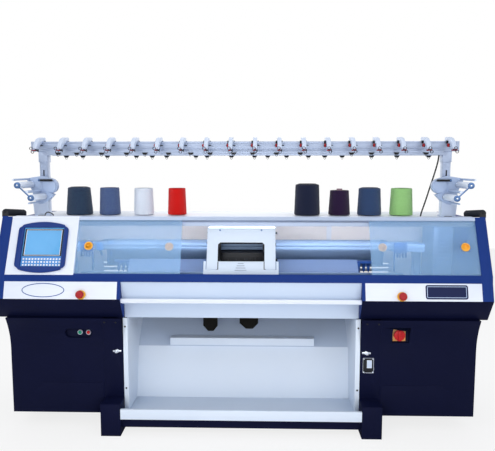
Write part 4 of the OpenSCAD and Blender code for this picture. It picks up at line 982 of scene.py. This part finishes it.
# Bright rims round the heads of the push buttons, set on the sheet beside each button
rimValues = {
    "names": ("start_button", "halt_button"), "carriers": ("column_covers", "cabinet_left"),
    "wire": 1.9, "gap": 0.5, "besideCentre": 13.5, "stretch": 3.2, "sunk": 0.5,
}
for number, nodeName in enumerate(rimValues["names"], 1):
    corners = [nodes[nodeName].matrix_world @ v.co / mm for v in nodes[nodeName].data.vertices]
    x, z = [(min(c[i] for c in corners) + max(c[i] for c in corners)) / 2 for i in (0, 2)]
    y = min(frontOf(dressed[carrier], x + rimValues["besideCentre"], z) for carrier in rimValues["carriers"])
    buttonRadius = (max(c[0] for c in corners) - min(c[0] for c in corners)) / 2
    halfDepth = rimValues["wire"] * rimValues["stretch"]
    bpy.ops.mesh.primitive_torus_add(
        major_radius=(buttonRadius + rimValues["wire"] + rimValues["gap"]) * mm,
        minor_radius=rimValues["wire"] * mm, major_segments=36, minor_segments=10,
        rotation=(math.pi / 2, 0, 0), location=(x * mm, (y - halfDepth + rimValues["sunk"]) * mm, z * mm))
    rim = bpy.context.object
    settle(rim)
    selectFaces(rim, lambda c, n: True)
    bpy.ops.transform.resize(value=(1, rimValues["stretch"], 1))
    leaveEditing()
    finishPiece(rim, "buttonRim" + str(number), "machine", finishes["whitePolyamide"], 60)

# Dark yarn clamp with hanging fingers in front of each rail bracket, outside the carriage's reach
clampValues = {"inner": 905, "outer": 980, "front": -88, "back": -71.7, "low": 1000, "high": 1062,
               "columns": 9, "finger": 28, "trunk": 80, "edge": 1.2}
inner, outer, columns = clampValues["inner"], clampValues["outer"], clampValues["columns"]
front, back = clampValues["front"], clampValues["back"]


def clampColumn(place):  # 0 is the column nearest the beds
    return int((abs(place.x) / mm - inner) / (outer - inner) * columns)


print("Yarn clamps")
for number, sign in enumerate((-1, 1), 1):
    bpy.ops.mesh.primitive_grid_add(x_subdivisions=columns, y_subdivisions=1, size=1)
    clamp = bpy.context.object
    clamp.scale = ((outer - inner) * mm, (back - front) * mm, 1)
    putAt(clamp, sign * (inner + outer) / 2, (front + back) / 2, clampValues["low"])
    settle(clamp)
    selectFaces(clamp, lambda c, n: True)
    extrude(0, 0, clampValues["high"] - clampValues["low"])
    closeSolid()
    # A finger under every second column, and a trunk under the first
    for every, reach in ((2, clampValues["finger"]), (columns, clampValues["trunk"])):
        selectFaces(clamp, lambda c, n: n.z < -square and clampColumn(c) % every == 0)
        extrude(0, 0, -reach)
        leaveEditing()
    bevelled(clamp, clampValues["edge"])
    finishPiece(clamp, "clampComb" + str(number), "machine", finishes["clampCasting"])

# Joint strip on the inside of the rear cover, which is upright
jointValues = {"x": 581, "low": 940, "high": 1150, "width": 34, "proud": 1.2, "rayZ": 1080, "rayFrom": 200}
jointY = frontOf(dressed["rear_cover"], jointValues["x"], jointValues["rayZ"], jointValues["rayFrom"])
slabOn("wallJoint", {"foot": (jointY, 0.0), "leanDegrees": 0.0}, jointValues["x"], jointValues["low"],
       jointValues["high"], jointValues["width"], jointValues["proud"], "whitePowderCoat", "machine")

# Small black feet beside the feed stands on the table: place along X and width
footValues = {"y": -158, "z": 1206, "depth": 22, "height": 7, "rim": 3, "knob": 5, "edge": 1.2,
              "places": [(-1268, 64), (-1206, 34), (1150, 30)]}
print("Feet and hook on the table")
for number, (x, width) in enumerate(footValues["places"], 1):
    foot = cuboid(width, footValues["depth"], footValues["height"])
    putAt(foot, x, footValues["y"], footValues["z"] + footValues["height"] / 2)
    settle(foot)
    selectFaces(foot, lambda c, n: n.z > square)
    inset(footValues["rim"])
    extrude(0, 0, footValues["knob"])
    leaveEditing()
    bevelled(foot, footValues["edge"])
    finishPiece(foot, "standFoot" + str(number), "machine", finishes["blackAbs"])

# Wire hook: a ring whose upper right part is bent down
hookValues = {
    "x": -1146, "y": -140, "z": 1226, "ring": 20, "wire": 3.0, "turn": (math.radians(78), 0.3, 0.2),
    "bentFrom": 8, "bend": (9, 0, -6), "bendReach": 12,
}
bpy.ops.mesh.primitive_torus_add(
    major_radius=hookValues["ring"] * mm, minor_radius=hookValues["wire"] * mm, major_segments=40,
    minor_segments=10, rotation=hookValues["turn"],
    location=(hookValues["x"] * mm, hookValues["y"] * mm, hookValues["z"] * mm))
hook = bpy.context.object
settle(hook)
selectFaces(hook, lambda c, n: c.x > (hookValues["x"] + hookValues["bentFrom"]) * mm
            and c.z > hookValues["z"] * mm)
bpy.ops.transform.translate(value=[v * mm for v in hookValues["bend"]], use_proportional_edit=True,
                            proportional_size=hookValues["bendReach"] * mm)
leaveEditing()
finishPiece(hook, "wireHook", "machine", finishes["blackOxide"], 60)

# Studio in metres: pale floor, white surroundings for the camera and for gloss, soft lamps
studioValues = {
    "floorSize": 14, "floorColours": ("#F4F5F7", "#F1F2F5"), "floorWhiteShare": 0.8,
    "worldColour": "#F2F5FC", "worldStrength": 0.5,
    "lamps": {
        "key": {"place": (-2.2, -3.6, 3.4), "aim": (0, 0, 0.8), "size": 3.0, "watts": 47},
        "fill": {"place": (2.6, -3.4, 2.4), "aim": (0, 0, 0.8), "size": 3.0, "watts": 31},
        "low": {"place": (0.0, -3.4, 0.5), "aim": (0, 0, 0.45), "size": 2.4, "watts": 40},
        "top": {"place": (0.0, 0.2, 4.2), "aim": (0, 0, 0.8), "size": 3.6, "watts": 38},
        "back": {"place": (0.0, 3.6, 2.2), "aim": (0, 0, 0.8), "size": 3.0, "watts": 32},
        "hood": {"place": (0.0, -0.18, 1.165), "aim": (0.0, 0.4, 0.95), "size": 0.1, "width": 2.4,
                 "watts": 7.5},
    },
}
white = (1, 1, 1, 1)
print("Studio")
deselectAll()
bpy.ops.mesh.primitive_plane_add(size=studioValues["floorSize"], location=(0, 0, 0))
floor = bpy.context.object
floor.name = "studioFloor"
floorMaterial, floorTree, floorShader, floorPlace = startMaterial("floorPaint", 0.7)
mottled(floorTree, floorShader, floorPlace, *studioValues["floorColours"], 900)
floorWhite = addNode(floorTree, "ShaderNodeEmission", {"Color": white, "Strength": 1.0})
lightPath = addNode(floorTree, "ShaderNodeLightPath")
whiteShare = addNode(floorTree, "ShaderNodeMath", {1: studioValues["floorWhiteShare"]},
                     {0: lightPath.outputs["Is Camera Ray"]}, operation="MULTIPLY")
shadowMix = addNode(floorTree, "ShaderNodeMixShader", None,
                    {0: whiteShare.outputs[0], 1: floorShader.outputs[0], 2: floorWhite.outputs[0]})
floorTree.links.new(shadowMix.outputs[0], floorTree.nodes["Material Output"].inputs["Surface"])
floor.data.materials.append(floorMaterial)

world = bpy.data.worlds.new("studioWorld")
bpy.context.scene.world = world
world.use_nodes = True
worldTree = world.node_tree
for node in list(worldTree.nodes):
    worldTree.nodes.remove(node)
rays = addNode(worldTree, "ShaderNodeLightPath")
seen = addNode(worldTree, "ShaderNodeMath", None,
               {0: rays.outputs["Is Camera Ray"], 1: rays.outputs["Is Glossy Ray"]}, operation="MAXIMUM")
seenThrough = addNode(worldTree, "ShaderNodeMath", None,
                      {0: seen.outputs[0], 1: rays.outputs["Is Transmission Ray"]}, operation="MAXIMUM")
ambient = addNode(worldTree, "ShaderNodeBackground",
                  {"Color": colour(studioValues["worldColour"]), "Strength": studioValues["worldStrength"]})
surround = addNode(worldTree, "ShaderNodeBackground", {"Color": white, "Strength": 1.0})
worldMix = addNode(worldTree, "ShaderNodeMixShader", None,
                   {0: seenThrough.outputs[0], 1: ambient.outputs[0], 2: surround.outputs[0]})
addNode(worldTree, "ShaderNodeOutputWorld", None, {"Surface": worldMix.outputs[0]})


def addLamp(name, values):
    data = bpy.data.lights.new(name, "AREA")
    data.size = values["size"]
    if "width" in values:
        data.shape = "RECTANGLE"
        data.size, data.size_y = values["width"], values["size"]
    data.energy = values["watts"]
    lamp = bpy.data.objects.new(name, data)
    bpy.context.scene.collection.objects.link(lamp)
    lamp.location = values["place"]
    lamp.rotation_euler = (Vector(values["aim"]) - lamp.location).to_track_quat("-Z", "Y").to_euler()
    lamp.visible_camera = False


for lampName, values in studioValues["lamps"].items():
    addLamp(lampName, values)
bpy.context.scene.view_settings.view_transform = "Standard"
